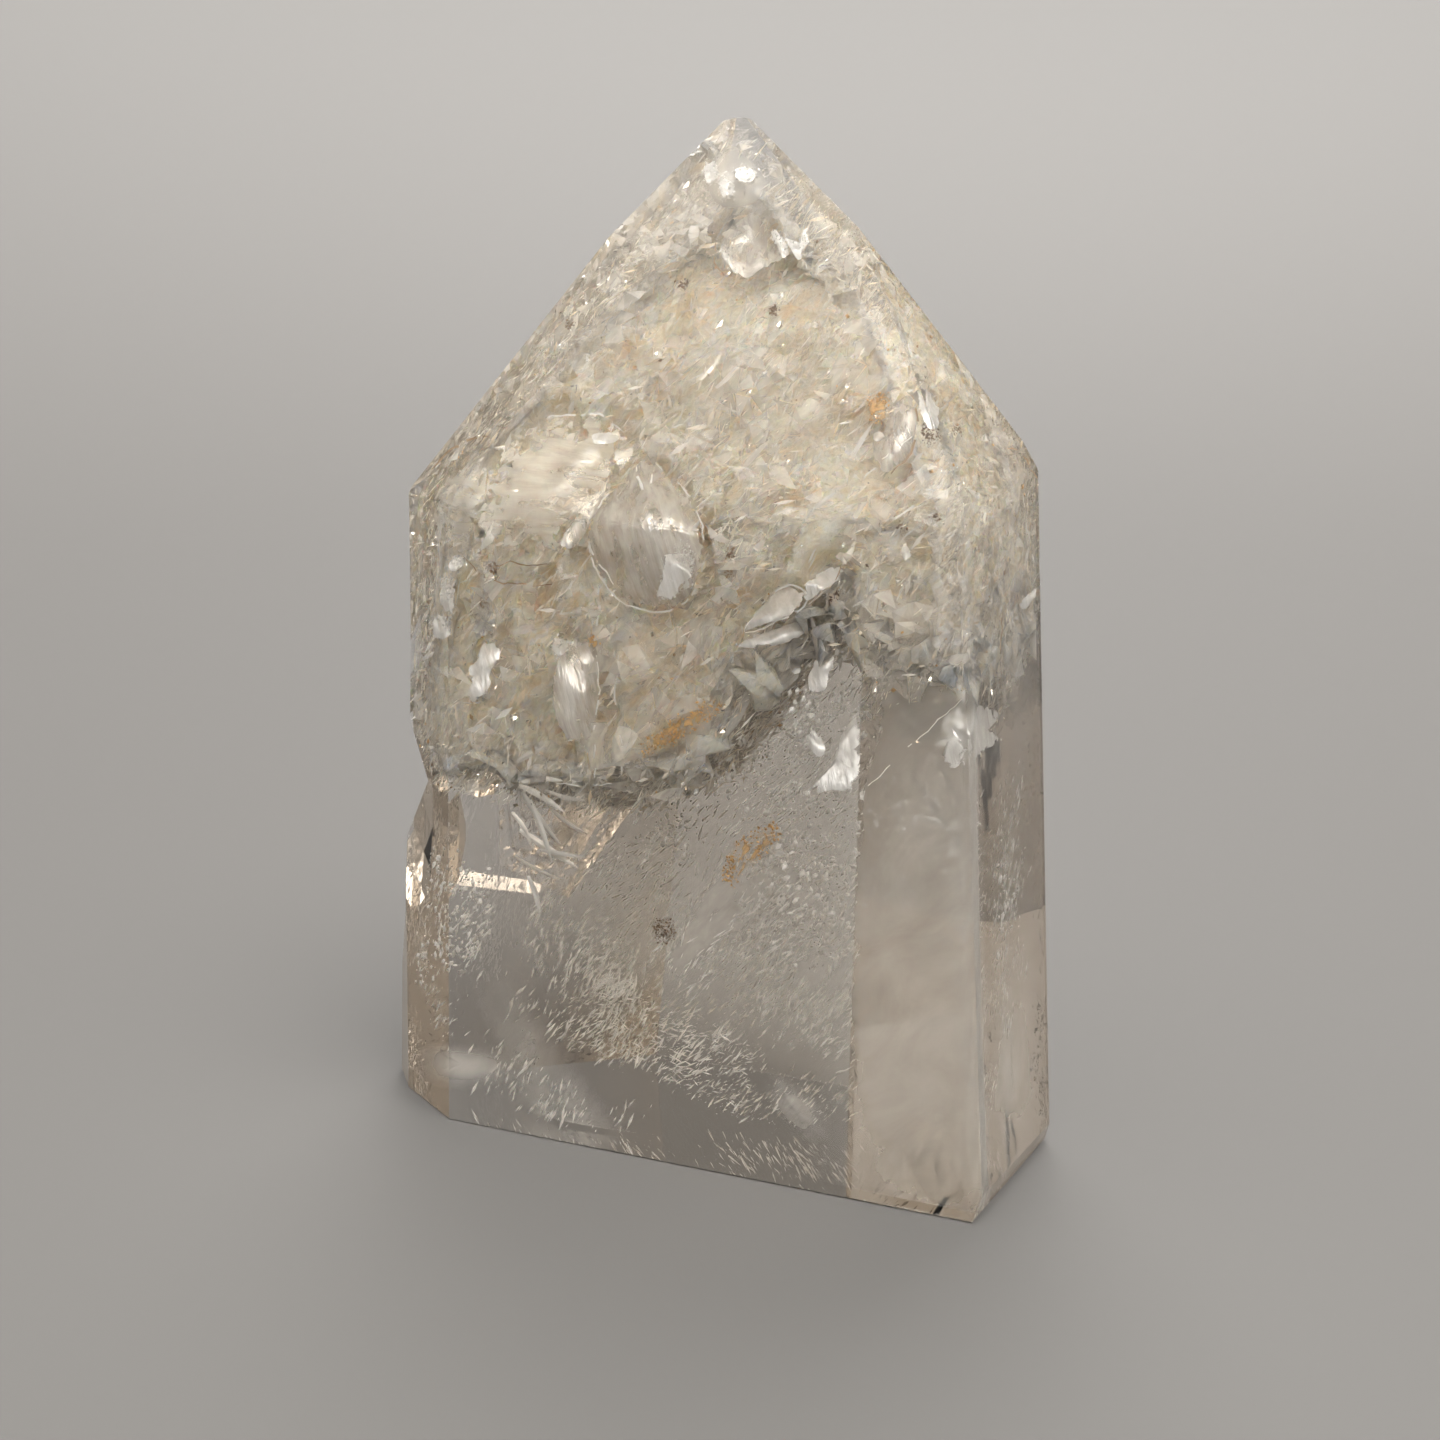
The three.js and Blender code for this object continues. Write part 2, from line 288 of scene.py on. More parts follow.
class QuartzStageSettings(bpy.types.PropertyGroup):
    """Floor, light and camera"""

    floor_colour: FloatVectorProperty(name="Floor", description="Colour of the floor",
                                      default=(0.070, 0.068, 0.066),
                                      min=0.0, max=1.0, subtype="COLOR")
    sky: FloatProperty(name="Sky", description="Brightness of the light all round, in front", default=0.60,
                       min=0.0)
    sky_behind: FloatProperty(name="Sky behind", description="Brightness of the light all round, behind",
                              default=0.21, min=0.0)
    top_power: FloatProperty(name="Top light", description="Brightness of the broad light above", default=2.4,
                             min=0.0)
    side_power: FloatProperty(name="Side light",
                              description="Brightness of each of the two high lights in front, to the right",
                              default=9.0, min=0.0)
    back_power: FloatProperty(name="Back light", description="Brightness of the high light behind",
                              default=6.5,
                              min=0.0)


# Places in the stone


def broad_faces():
    """Outward normal and distance of each broad flat face that bounds the whole stone, from its solid."""
    areas = {}
    for face in STONE.data.polygons:
        key = tuple(round(c, 2) for c in face.normal)
        area, normal, reach = areas.get(key, (0.0, Vector(), 0.0))
        grown = area + face.area
        reach = (reach * area + face.normal.dot(face.center) * face.area) / grown
        areas[key] = (grown, normal + face.normal * face.area, reach)
    planes = [(normal.normalized(), reach) for area, normal, reach in areas.values() if area > 12 * MM * MM]
    corners = [vert.co for vert in STONE.data.vertices]
    return [(normal, reach) for normal, reach in planes
            if max(normal.dot(corner) for corner in corners) < reach + 0.3 * MM]


PLANES = broad_faces()


def depth_in_stone(place):
    """How far inside the stone's surface a place lies; negative outside."""
    nearest, normal, _, _ = STONE_TREE.find_nearest(place)
    return (nearest - place).dot(normal)


def inset(place, gap):
    """A place moved to a gap inside the face of the stone that is nearest to it."""
    nearest, normal, _, _ = STONE_TREE.find_nearest(place)
    return nearest - normal * gap


def seen_at(across, down, depth, ior=1.544):
    """The place, some millimetres behind the polished face, that shows at a pixel of the photograph."""
    pixel = Vector((across - PHOTO_SIDE / 2, PHOTO_SIDE / 2 - down, -LENS / SENSOR * PHOTO_SIDE))
    ray = (CAMERA_TURN.to_matrix() @ pixel).normalized()
    facing = [(normal, reach) for normal, reach in PLANES if ray.dot(normal) < 0]
    way, normal = max(((reach - CAMERA_PLACE.dot(normal)) / ray.dot(normal), normal) for normal,
                      reach in facing)
    square = -ray.dot(normal) / ior
    bent = ray / ior + normal * (square - math.sqrt(1 - (1 - ray.dot(normal) ** 2) / ior ** 2))
    return CAMERA_PLACE + ray * way + bent * depth * MM


def cloud_floor(x):
    """Level, in metres, of the cloud's lower border at a place across the tower."""
    border = ((-42, 50), (-34, 46), (-24, 43), (-12, 42), (-3, 44), (3, 47), (8, 53), (13, 60), (17, 64),
              (22, 65),
              (25, 62), (30, 61), (42, 62))
    x_mm = x / MM
    for (x0, z0), (x1, z1) in zip(border, border[1:]):
        if x_mm <= x1:
            share = min(max((x_mm - x0) / (x1 - x0), 0.0), 1.0)
            return (z0 + (z1 - z0) * share) * MM
    return border[-1][1] * MM


def ragged(place):
    return 3.0 * MM * noise.noise(place / (6.0 * MM)) + 1.6 * MM * noise.noise(place / (1.8 * MM))


def cell_lift(place, size, seed):
    """Height, in cells, of a broken surface: each long cell is one facet with a tilt and level of its own."""
    squeezed = place - GROWTH * place.dot(GROWTH) * 0.6
    spot = squeezed / size + Vector((3.1, 5.7, 1.3)) * seed
    nearest = noise.voronoi(spot)[1][0]
    tilt = noise.noise_vector(nearest * 9.7)
    return (spot - nearest).dot(tilt) + 0.9 * noise.noise(nearest * 5.3), nearest


# Node and mesh helpers


def add_node(tree, kind, inputs=None, **settings):
    """A new node with its settings made and its inputs set or linked."""
    node = tree.nodes.new(kind)
    for name, value in settings.items():
        setattr(node, name, value)
    for name, value in (inputs or {}).items():
        if isinstance(value, bpy.types.NodeSocket):
            tree.links.new(value, node.inputs[name])
        else:
            node.inputs[name].default_value = value
    return node


def math_node(tree, operation, a, b=0.0):
    return add_node(tree, "ShaderNodeMath", {0: a, 1: b}, operation=operation).outputs[0]


def place_group(tree, group, inputs):
    node = add_node(tree, "ShaderNodeGroup", node_tree=group)
    for name, value in inputs.items():
        if isinstance(value, bpy.types.NodeSocket):
            tree.links.new(value, node.inputs[name])
        else:
            node.inputs[name].default_value = value
    return node


def rgba(colour):
    return (*colour, 1.0)


def new_material(name):
    material = bpy.data.materials.new(name)
    material.use_nodes = True
    tree = material.node_tree
    tree.nodes.clear()
    output = add_node(tree, "ShaderNodeOutputMaterial")
    return material, tree, output


def mesh_from(bm, name):
    mesh = bpy.data.meshes.new(name)
    bm.to_mesh(mesh)
    bm.free()
    return mesh


def new_piece(name, mesh, material=None, smooth=False):
    """A finished piece of the stone: its object at the origin, riding with the solid."""
    piece = bpy.data.objects.new(name, mesh)
    bpy.context.scene.collection.objects.link(piece)
    if material is not None:
        mesh.materials.clear()
        mesh.materials.append(material)
    mesh.polygons.foreach_set("use_smooth", [smooth] * len(mesh.polygons))
    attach(piece, "root")
    return piece


def evaluated(source, modifier_kind=None, **values):
    """The mesh of an object as its modifiers leave it; the object is removed."""
    if modifier_kind:
        modifier = source.modifiers.new("shape", modifier_kind)
        for name, value in values.items():
            setattr(modifier, name, value)
    bpy.context.view_layer.update()
    graph = bpy.context.evaluated_depsgraph_get()
    mesh = bpy.data.meshes.new_from_object(source.evaluated_get(graph), depsgraph=graph)
    bpy.data.objects.remove(source)
    return mesh


def hidden_object(name, mesh):
    thing = bpy.data.objects.new(name, mesh)
    bpy.context.scene.collection.objects.link(thing)
    return thing


# Shader groups used by more than one material


def growth_place(group, stretch, turn=(0.0, math.radians(-38.0), 0.0)):
    """Object coordinates turned, at first so that Z runs with the growth, then stretched."""
    place = add_node(group, "ShaderNodeTexCoord")
    turned = add_node(group, "ShaderNodeMapping", {"Vector": place.outputs["Object"], "Rotation": turn})
    return add_node(group, "ShaderNodeVectorMath", {0: turned.outputs[0], 1: stretch},
                    operation="MULTIPLY").outputs[0]


def group_mottle():
    """Soft patches of two colours with finer grain in them, put out as a colour and as a mask."""
    group = bpy.data.node_groups.new("mottle", "ShaderNodeTree")
    face = group.interface
    for name, kind, value in (("Scale", "NodeSocketFloat", 120.0), ("Sharpness", "NodeSocketFloat", 3.0),
                              ("Level", "NodeSocketFloat", 0.5),
                              ("Stretch", "NodeSocketVector", (1.0, 1.0, 1.0)),
                              ("Turn", "NodeSocketVector", (0.0, math.radians(-38.0), 0.0)),
                              ("First", "NodeSocketColor", (1.0, 1.0, 1.0, 1.0)),
                              ("Second", "NodeSocketColor", (0.0, 0.0, 0.0, 1.0))):
        face.new_socket(name, in_out="INPUT", socket_type=kind).default_value = value
    face.new_socket("Color", in_out="OUTPUT", socket_type="NodeSocketColor")
    face.new_socket("Mask", in_out="OUTPUT", socket_type="NodeSocketFloat")
    given = add_node(group, "NodeGroupInput")
    broad = add_node(group, "ShaderNodeTexNoise", {
        "Vector": growth_place(group, given.outputs["Stretch"], given.outputs["Turn"]),
        "Scale": given.outputs["Scale"], "Detail": 5.0,
        "Roughness": 0.62, "Distortion": 0.6})
    level = math_node(group, "SUBTRACT", broad.outputs["Fac"], given.outputs["Level"])
    spread = add_node(group, "ShaderNodeMath", {0: level, 1: given.outputs["Sharpness"], 2: 0.5},
                      operation="MULTIPLY_ADD", use_clamp=True)
    mix = add_node(group, "ShaderNodeMix", {"Factor": spread.outputs[0], 6: given.outputs["First"],
                                            7: given.outputs["Second"]}, data_type="RGBA")
    out = add_node(group, "NodeGroupOutput")
    group.links.new(mix.outputs[2], out.inputs["Color"])
    group.links.new(spread.outputs[0], out.inputs["Mask"])
    return group


def group_specks():
    """Small dots, scattered in patches, put out as a mask."""
    group = bpy.data.node_groups.new("specks", "ShaderNodeTree")
    face = group.interface
    for name, kind, value in (("Scale", "NodeSocketFloat", 700.0), ("Size", "NodeSocketFloat", 0.25),
                              ("Patch Scale", "NodeSocketFloat", 150.0),
                              ("Patch Level", "NodeSocketFloat", 0.5),
                              ("Stretch", "NodeSocketVector", (1.0, 1.0, 1.0))):
        face.new_socket(name, in_out="INPUT", socket_type=kind).default_value = value
    face.new_socket("Mask", in_out="OUTPUT", socket_type="NodeSocketFloat")
    given = add_node(group, "NodeGroupInput")
    place = growth_place(group, given.outputs["Stretch"])
    dots = add_node(group, "ShaderNodeTexVoronoi", {"Vector": place, "Scale": given.outputs["Scale"]})
    patches = add_node(group, "ShaderNodeTexNoise", {"Vector": place, "Scale": given.outputs["Patch Scale"],
                                                     "Detail": 3.0})
    above = math_node(group, "SUBTRACT", patches.outputs["Fac"], given.outputs["Patch Level"])
    room = add_node(group, "ShaderNodeMath", {0: above, 1: 4.0}, operation="MULTIPLY", use_clamp=True)
    size = math_node(group, "MULTIPLY", room.outputs[0], given.outputs["Size"])
    inside = math_node(group, "SUBTRACT", size, dots.outputs["Distance"])
    mask = add_node(group, "ShaderNodeMath", {0: inside, 1: 12.0}, operation="MULTIPLY", use_clamp=True)
    out = add_node(group, "NodeGroupOutput")
    group.links.new(mask.outputs[0], out.inputs["Mask"])
    return group


def mottle():
    return bpy.data.node_groups.get("mottle") or group_mottle()


def specks():
    return bpy.data.node_groups.get("specks") or group_specks()


# Materials


def clear_quartz(settings):
    """Polished clear stone, a little rough where the natural hollows are."""
    material, tree, output = new_material("clear_quartz")
    natural = add_node(tree, "ShaderNodeAttribute", attribute_name="natural")
    rough = math_node(tree, "MULTIPLY", natural.outputs["Fac"], 0.2)
    place = add_node(tree, "ShaderNodeTexCoord")
    waves = add_node(tree, "ShaderNodeTexNoise", {"Vector": place.outputs["Object"], "Scale": 420.0,
                                                  "Detail": 3.0})
    height = math_node(tree, "MULTIPLY", waves.outputs["Fac"], natural.outputs["Fac"])
    bump = add_node(tree, "ShaderNodeBump", {"Strength": 0.6, "Distance": 0.5 * MM, "Height": height})
    stone = add_node(tree, "ShaderNodeBsdfPrincipled", {
        "Base Color": (1.0, 1.0, 1.0, 1.0), "Metallic": 0.0, "Roughness": rough,
        "IOR": settings.ior, "Transmission Weight": 1.0, "Normal": bump.outputs[0]})
    depth = add_node(tree, "ShaderNodeVolumeAbsorption", {"Color": rgba(settings.tint),
                                                          "Density": settings.depth_of_tint})
    tree.links.new(stone.outputs[0], output.inputs["Surface"])
    tree.links.new(depth.outputs[0], output.inputs["Volume"])
    return material


def broken_quartz(settings):
    """The cloudy mass: pale fibres in cream, facet by facet, with brown specks along its cracks."""
    material, tree, output = new_material("broken_quartz")
    facet = add_node(tree, "ShaderNodeAttribute", attribute_name="facet_tone")
    fibres = place_group(tree, mottle(), {"Scale": 620.0, "Sharpness": 2.6, "Stretch": (1.0, 1.0, 0.3)})
    patches = place_group(tree, mottle(), {"Scale": 60.0, "Sharpness": 3.0, "Level": 0.47})
    both = math_node(tree, "ADD", facet.outputs["Fac"], fibres.outputs["Mask"])
    ramp = add_node(tree, "ShaderNodeValToRGB", {"Fac": math_node(tree, "MULTIPLY", both, 0.5)})
    first, last = ramp.color_ramp.elements
    first.position, first.color = 0.08, rgba(settings.tan)
    last.position, last.color = 0.85, rgba(settings.white)
    ramp.color_ramp.elements.new(0.4).color = rgba(settings.cream)
    warm = add_node(tree, "ShaderNodeMix", {"Factor": math_node(tree, "MULTIPLY", patches.outputs["Mask"],
                                                                0.5),
                                            6: ramp.outputs["Color"], 7: rgba(settings.tan)},
                    data_type="RGBA")
    dots = place_group(tree, specks(), {"Scale": 900.0, "Size": 0.34, "Patch Scale": 210.0,
                                        "Patch Level": 0.58})
    stained = add_node(tree, "ShaderNodeMix", {"Factor": dots.outputs["Mask"], 6: warm.outputs[2],
                                               7: (0.30, 0.19, 0.10, 1.0)}, data_type="RGBA")
    fine = place_group(tree, mottle(), {"Scale": 1500.0, "Sharpness": 2.0, "Stretch": (1.0, 1.0, 0.35)})
    rough = add_node(tree, "ShaderNodeMapRange", {"Value": fine.outputs["Mask"], "To Min": 0.10,
                                                  "To Max": 0.45})
    both_heights = math_node(tree, "ADD", fibres.outputs["Mask"], fine.outputs["Mask"])
    bump = add_node(tree, "ShaderNodeBump", {"Strength": 0.8, "Distance": 0.3 * MM, "Height": both_heights})
    shader = add_node(tree, "ShaderNodeBsdfPrincipled", {
        "Base Color": stained.outputs[2], "Roughness": rough.outputs[0], "Normal": bump.outputs[0],
        "Subsurface Weight": 0.9, "Subsurface Radius": (1.0, 0.85, 0.65), "Subsurface Scale": 4.0 * MM})
    tree.links.new(shader.outputs[0], output.inputs["Surface"])
    return material


def film_material(name, first, second, thin, thick, roughness=0.22):
    """A broken fracture film: each piece has its own thickness, with soft streaks over all of them."""
    material, tree, output = new_material(name)
    colour = place_group(tree, mottle(), {"Scale": 190.0, "Sharpness": 4.0, "Stretch": (1.3, 1.0, 0.5),
                                          "First": rgba(first), "Second": rgba(second)})
    patches = place_group(tree, mottle(), {"Scale": 150.0, "Sharpness": 3.5, "Stretch": (1.3, 1.0, 0.6)})
    fine = place_group(tree, mottle(), {"Scale": 1100.0, "Sharpness": 3.0, "Stretch": (1.5, 1.0, 0.35)})
    shard = add_node(tree, "ShaderNodeNewGeometry")
    own = math_node(tree, "POWER", shard.outputs["Random Per Island"], 1.4)
    both = math_node(tree, "MULTIPLY", own, patches.outputs["Mask"])
    film = add_node(tree, "ShaderNodeMapRange", {"Value": both, "From Max": 0.7, "To Min": thin,
                                                 "To Max": thick})
    bump = add_node(tree, "ShaderNodeBump", {"Strength": 0.35, "Distance": 0.2 * MM,
                                             "Height": fine.outputs["Mask"]})
    shader = add_node(tree, "ShaderNodeBsdfPrincipled", {
        "Base Color": colour.outputs["Color"], "Roughness": roughness, "Metallic": 0.12,
        "Alpha": film.outputs[0],
        "Normal": bump.outputs[0]})
    tree.links.new(shader.outputs[0], output.inputs["Surface"])
    return material


def shell_material(name, colour, clear, rim, shine=0.5, speck=0.0):
    """A curved fracture: nearly clear inside, whiter to its rim, with soft streaks and, if asked, dots."""
    material, tree, output = new_material(name)
    edge = add_node(tree, "ShaderNodeAttribute", attribute_name="rim")
    streaks = place_group(tree, mottle(), {"Scale": 420.0, "Sharpness": 3.0, "Stretch": (1.6, 1.0, 0.4)})
    veil = add_node(tree, "ShaderNodeMapRange", {"Value": edge.outputs["Fac"], "From Min": 0.55,
                                                 "To Min": clear, "To Max": rim})
    streaked = add_node(tree, "ShaderNodeMapRange", {"Value": streaks.outputs["Mask"], "To Min": 0.55,
                                                     "To Max": 1.35})
    alpha = add_node(tree, "ShaderNodeMath", {0: veil.outputs[0], 1: streaked.outputs[0]},
                     operation="MULTIPLY",
                     use_clamp=True).outputs[0]
    if speck:
        dots = place_group(tree, specks(), {"Scale": 1100.0, "Size": 0.5, "Patch Scale": 160.0,
                                            "Patch Level": 0.62 - speck})
        alpha = math_node(tree, "MAXIMUM", alpha, dots.outputs["Mask"])
    bump = add_node(tree, "ShaderNodeBump", {"Strength": 0.4, "Distance": 0.25 * MM,
                                             "Height": streaks.outputs["Mask"]})
    shader = add_node(tree, "ShaderNodeBsdfPrincipled", {
        "Base Color": rgba(colour), "Roughness": 0.14, "Metallic": shine, "Alpha": alpha,
        "Normal": bump.outputs[0]})
    tree.links.new(shader.outputs[0], output.inputs["Surface"])
    return material


def drawn_material(name, first, second, body, ragged_rim, lines, shine=0.3, roughness=0.16):
    """A broad fracture: fine lines run across it along one way, and its rim is frayed."""
    material, tree, output = new_material(name)
    stretch, turn = lines
    edge = add_node(tree, "ShaderNodeAttribute", attribute_name="rim")
    streaks = place_group(tree, mottle(), {"Scale": 500.0, "Sharpness": 3.0, "Stretch": stretch, "Turn": turn,
                                           "First": rgba(first), "Second": rgba(second)})
    fray = place_group(tree, mottle(), {"Scale": 520.0, "Sharpness": 6.0, "Stretch": (1.2, 1.0, 0.7)})
    clouds = place_group(tree, mottle(), {"Scale": 140.0, "Sharpness": 2.5})
    within = add_node(tree, "ShaderNodeMapRange", {"Value": edge.outputs["Fac"], "From Min": 1.0 - ragged_rim,
                                                   "To Min": 1.3, "To Max": 0.15})
    frayed = add_node(tree, "ShaderNodeMapRange", {
        "Value": math_node(tree, "SUBTRACT", within.outputs[0], fray.outputs["Mask"]),
        "From Min": -0.15, "From Max": 0.15})
    thick = add_node(tree, "ShaderNodeMapRange", {
        "Value": math_node(tree, "MULTIPLY", streaks.outputs["Mask"], clouds.outputs["Mask"]),
        "From Max": 0.6, "To Min": body * 0.6, "To Max": min(body * 1.3, 1.0)})
    alpha = math_node(tree, "MULTIPLY", frayed.outputs[0], thick.outputs[0])
    bump = add_node(tree, "ShaderNodeBump", {"Strength": 0.5, "Distance": 0.2 * MM,
                                             "Height": streaks.outputs["Mask"]})
    shader = add_node(tree, "ShaderNodeBsdfPrincipled", {
        "Base Color": streaks.outputs["Color"], "Roughness": roughness, "Metallic": shine, "Alpha": alpha,
        "Normal": bump.outputs[0]})
    tree.links.new(shader.outputs[0], output.inputs["Surface"])
    return material


def haze_material(name, colour, thickest, scale, stretch, level=0.5, sharpness=2.6, fade_from=0.35,
                  clear=0.55):
    """Milky streaks and clouds in clear stone."""
    material, tree, output = new_material(name)
    clouds = place_group(tree, mottle(), {"Scale": scale, "Sharpness": sharpness, "Level": level,
                                          "Stretch": stretch})
    fine = place_group(tree, mottle(), {"Scale": scale * 7, "Sharpness": 2.2, "Stretch": stretch})
    edge = add_node(tree, "ShaderNodeAttribute", attribute_name="rim")
    fade = add_node(tree, "ShaderNodeMapRange", {"Value": edge.outputs["Fac"], "From Min": fade_from,
                                                 "To Min": 1.0, "To Max": 0.0},
                    interpolation_type="SMOOTHSTEP")
    streaked = add_node(tree, "ShaderNodeMapRange", {"Value": fine.outputs["Mask"], "To Min": clear})
    both = math_node(tree, "MULTIPLY", clouds.outputs["Mask"], streaked.outputs[0])
    faded = math_node(tree, "MULTIPLY", both, fade.outputs[0])
    alpha = math_node(tree, "MULTIPLY", faded, thickest)
    shader = add_node(tree, "ShaderNodeBsdfPrincipled", {"Base Color": rgba(colour), "Roughness": 0.6,
                                                         "Alpha": alpha})
    tree.links.new(shader.outputs[0], output.inputs["Surface"])
    return material


def stain_material(settings):
    """Rust-coloured stain that is thin and broken."""
    material, tree, output = new_material("ochre_stain")
    colour = place_group(tree, mottle(), {"Scale": 700.0, "Sharpness": 3.0, "First": rgba(settings.ochre),
                                          "Second": (0.80, 0.52, 0.20, 1.0)})
    holes = place_group(tree, mottle(), {"Scale": 850.0, "Sharpness": 5.0, "Level": 0.5,
                                         "Stretch": (1.2, 1.0, 0.6)})
    edge = add_node(tree, "ShaderNodeAttribute", attribute_name="rim")
    fade = add_node(tree, "ShaderNodeMapRange", {"Value": edge.outputs["Fac"], "From Min": 0.4,
                                                 "To Min": 0.95,
                                                 "To Max": 0.0})
    alpha = math_node(tree, "MULTIPLY", holes.outputs["Mask"], fade.outputs[0])
    shader = add_node(tree, "ShaderNodeBsdfPrincipled", {"Base Color": colour.outputs["Color"],
                                                         "Roughness": 0.5,
                                                         "Alpha": alpha})
    tree.links.new(shader.outputs[0], output.inputs["Surface"])
    return material


def chip_material(name, shades, roughness, metallic=0.0):
    """Chips of stone in several shades, each chip with its own."""
    material, tree, output = new_material(name)
    chip = add_node(tree, "ShaderNodeNewGeometry")
    ramp = add_node(tree, "ShaderNodeValToRGB", {"Fac": chip.outputs["Random Per Island"]})
    stops = ramp.color_ramp.elements
    for k, shade in enumerate(shades):
        place = k / (len(shades) - 1)
        stop = stops[k] if k < 2 else stops.new(place)
        stop.position = place
        stop.color = rgba(shade)
    shader = add_node(tree, "ShaderNodeBsdfPrincipled", {
        "Base Color": ramp.outputs["Color"], "Roughness": roughness, "Metallic": metallic})
    tree.links.new(shader.outputs[0], output.inputs["Surface"])
    return material


def plain_material(name, colour, roughness):
    material, tree, output = new_material(name)
    shader = add_node(tree, "ShaderNodeBsdfPrincipled", {"Base Color": rgba(colour), "Roughness": roughness})
    tree.links.new(shader.outputs[0], output.inputs["Surface"])
    return material


# Geometry Nodes: chips and needles scattered over hidden sheets inside the stone


def scatter_tree():
    """Chips strewn about a sheet, kept inside the stone, laid along the growth and joined into one mesh."""
    tree = bpy.data.node_groups.new("strew_chips", "GeometryNodeTree")
    tree.is_modifier = True
    face = tree.interface
    for name, kind, value in (("Sheet", "NodeSocketGeometry", None), ("Stone", "NodeSocketObject", None),
                              ("Per Area", "NodeSocketFloat", 1.0e6),
                              ("Patch Scale", "NodeSocketFloat", 150.0),
                              ("Patch Level", "NodeSocketFloat", 0.5), ("Spread", "NodeSocketFloat", MM),
                              ("Smallest", "NodeSocketFloat", 0.1 * MM), ("Largest", "NodeSocketFloat", MM),
                              ("Few Large", "NodeSocketFloat", 4.0),
                              ("Stretch", "NodeSocketVector", (1.0, 1.0, 0.2)),
                              ("Lean", "NodeSocketFloat", 0.5),
                              ("Swirl", "NodeSocketFloat", 0.0), ("Swirl Scale", "NodeSocketFloat", 70.0),
                              ("Growth", "NodeSocketVector", GROWTH),
                              ("Clearance", "NodeSocketFloat", 0.3 * MM),
                              ("Sides", "NodeSocketInt", 4), ("Seed", "NodeSocketInt", 0),
                              ("Material", "NodeSocketMaterial", None)):
        socket = face.new_socket(name, in_out="INPUT", socket_type=kind)
        if value is not None:
            socket.default_value = value
    face.new_socket("Chips", in_out="OUTPUT", socket_type="NodeSocketGeometry")
    given = add_node(tree, "NodeGroupInput")
    out = add_node(tree, "NodeGroupOutput")

    patches = add_node(tree, "ShaderNodeTexNoise", {"Scale": given.outputs["Patch Scale"], "Detail": 3.0,
                                                    "Roughness": 0.6})
    above = math_node(tree, "SUBTRACT", patches.outputs["Fac"], given.outputs["Patch Level"])
    full = add_node(tree, "ShaderNodeMath", {0: above, 1: 9.0, 2: 0.5}, operation="MULTIPLY_ADD",
                    use_clamp=True)
    density = math_node(tree, "MULTIPLY", full.outputs[0], given.outputs["Per Area"])
    points = add_node(tree, "GeometryNodeDistributePointsOnFaces", {
        "Mesh": given.outputs["Sheet"], "Density": density, "Seed": given.outputs["Seed"]})

    def random_vector(low, high, salt):
        salted = math_node(tree, "ADD", given.outputs["Seed"], salt)
        return add_node(tree, "FunctionNodeRandomValue", {0: low, 1: high, "Seed": salted},
                        data_type="FLOAT_VECTOR").outputs[0]

    def random_value(salt):
        salted = math_node(tree, "ADD", given.outputs["Seed"], salt)
        return add_node(tree, "FunctionNodeRandomValue", {"Seed": salted}, data_type="FLOAT").outputs[1]

    def scaled(vector, factor):
        return add_node(tree, "ShaderNodeVectorMath", {0: vector, "Scale": factor},
                        operation="SCALE").outputs[0]

    drift = scaled(random_vector((-1.0,) * 3, (1.0,) * 3, 11), given.outputs["Spread"])
    strewn = add_node(tree, "GeometryNodeSetPosition", {"Geometry": points.outputs["Points"],
                                                        "Offset": drift})
    span = math_node(tree, "SUBTRACT", given.outputs["Largest"], given.outputs["Smallest"])
    few_large = math_node(tree, "POWER", random_value(23), given.outputs["Few Large"])
    size = add_node(tree, "ShaderNodeMath", {0: span, 1: few_large, 2: given.outputs["Smallest"]},
                    operation="MULTIPLY_ADD")
    sized = add_node(tree, "GeometryNodeStoreNamedAttribute", {
        "Geometry": strewn.outputs[0], "Name": "chip_size", "Value": size.outputs[0]},
        data_type="FLOAT", domain="POINT")

    stone = add_node(tree, "GeometryNodeObjectInfo", {"Object": given.outputs["Stone"]})
    here = add_node(tree, "GeometryNodeInputPosition")
    near = add_node(tree, "GeometryNodeProximity", {"Geometry": stone.outputs["Geometry"]},
                    target_element="FACES")
    outward = add_node(tree, "GeometryNodeInputNormal")
    normal = add_node(tree, "GeometryNodeSampleNearestSurface", {"Mesh": stone.outputs["Geometry"],
                                                                 "Value": outward.outputs[0]},
                      data_type="FLOAT_VECTOR")
    inward = add_node(tree, "ShaderNodeVectorMath", {0: near.outputs["Position"], 1: here.outputs[0]},
                      operation="SUBTRACT")
    depth = add_node(tree, "ShaderNodeVectorMath", {0: inward.outputs[0], 1: normal.outputs[0]},
                     operation="DOT_PRODUCT")
    kept_size = add_node(tree, "GeometryNodeInputNamedAttribute", {"Name": "chip_size"}, data_type="FLOAT")
    needed = math_node(tree, "ADD", kept_size.outputs[0], given.outputs["Clearance"])
    outside = add_node(tree, "FunctionNodeCompare", {0: depth.outputs["Value"], 1: needed},
                       data_type="FLOAT", operation="LESS_THAN")
    kept = add_node(tree, "GeometryNodeDeleteGeometry", {"Geometry": sized.outputs[0],
                                                         "Selection": outside.outputs[0]}, domain="POINT")

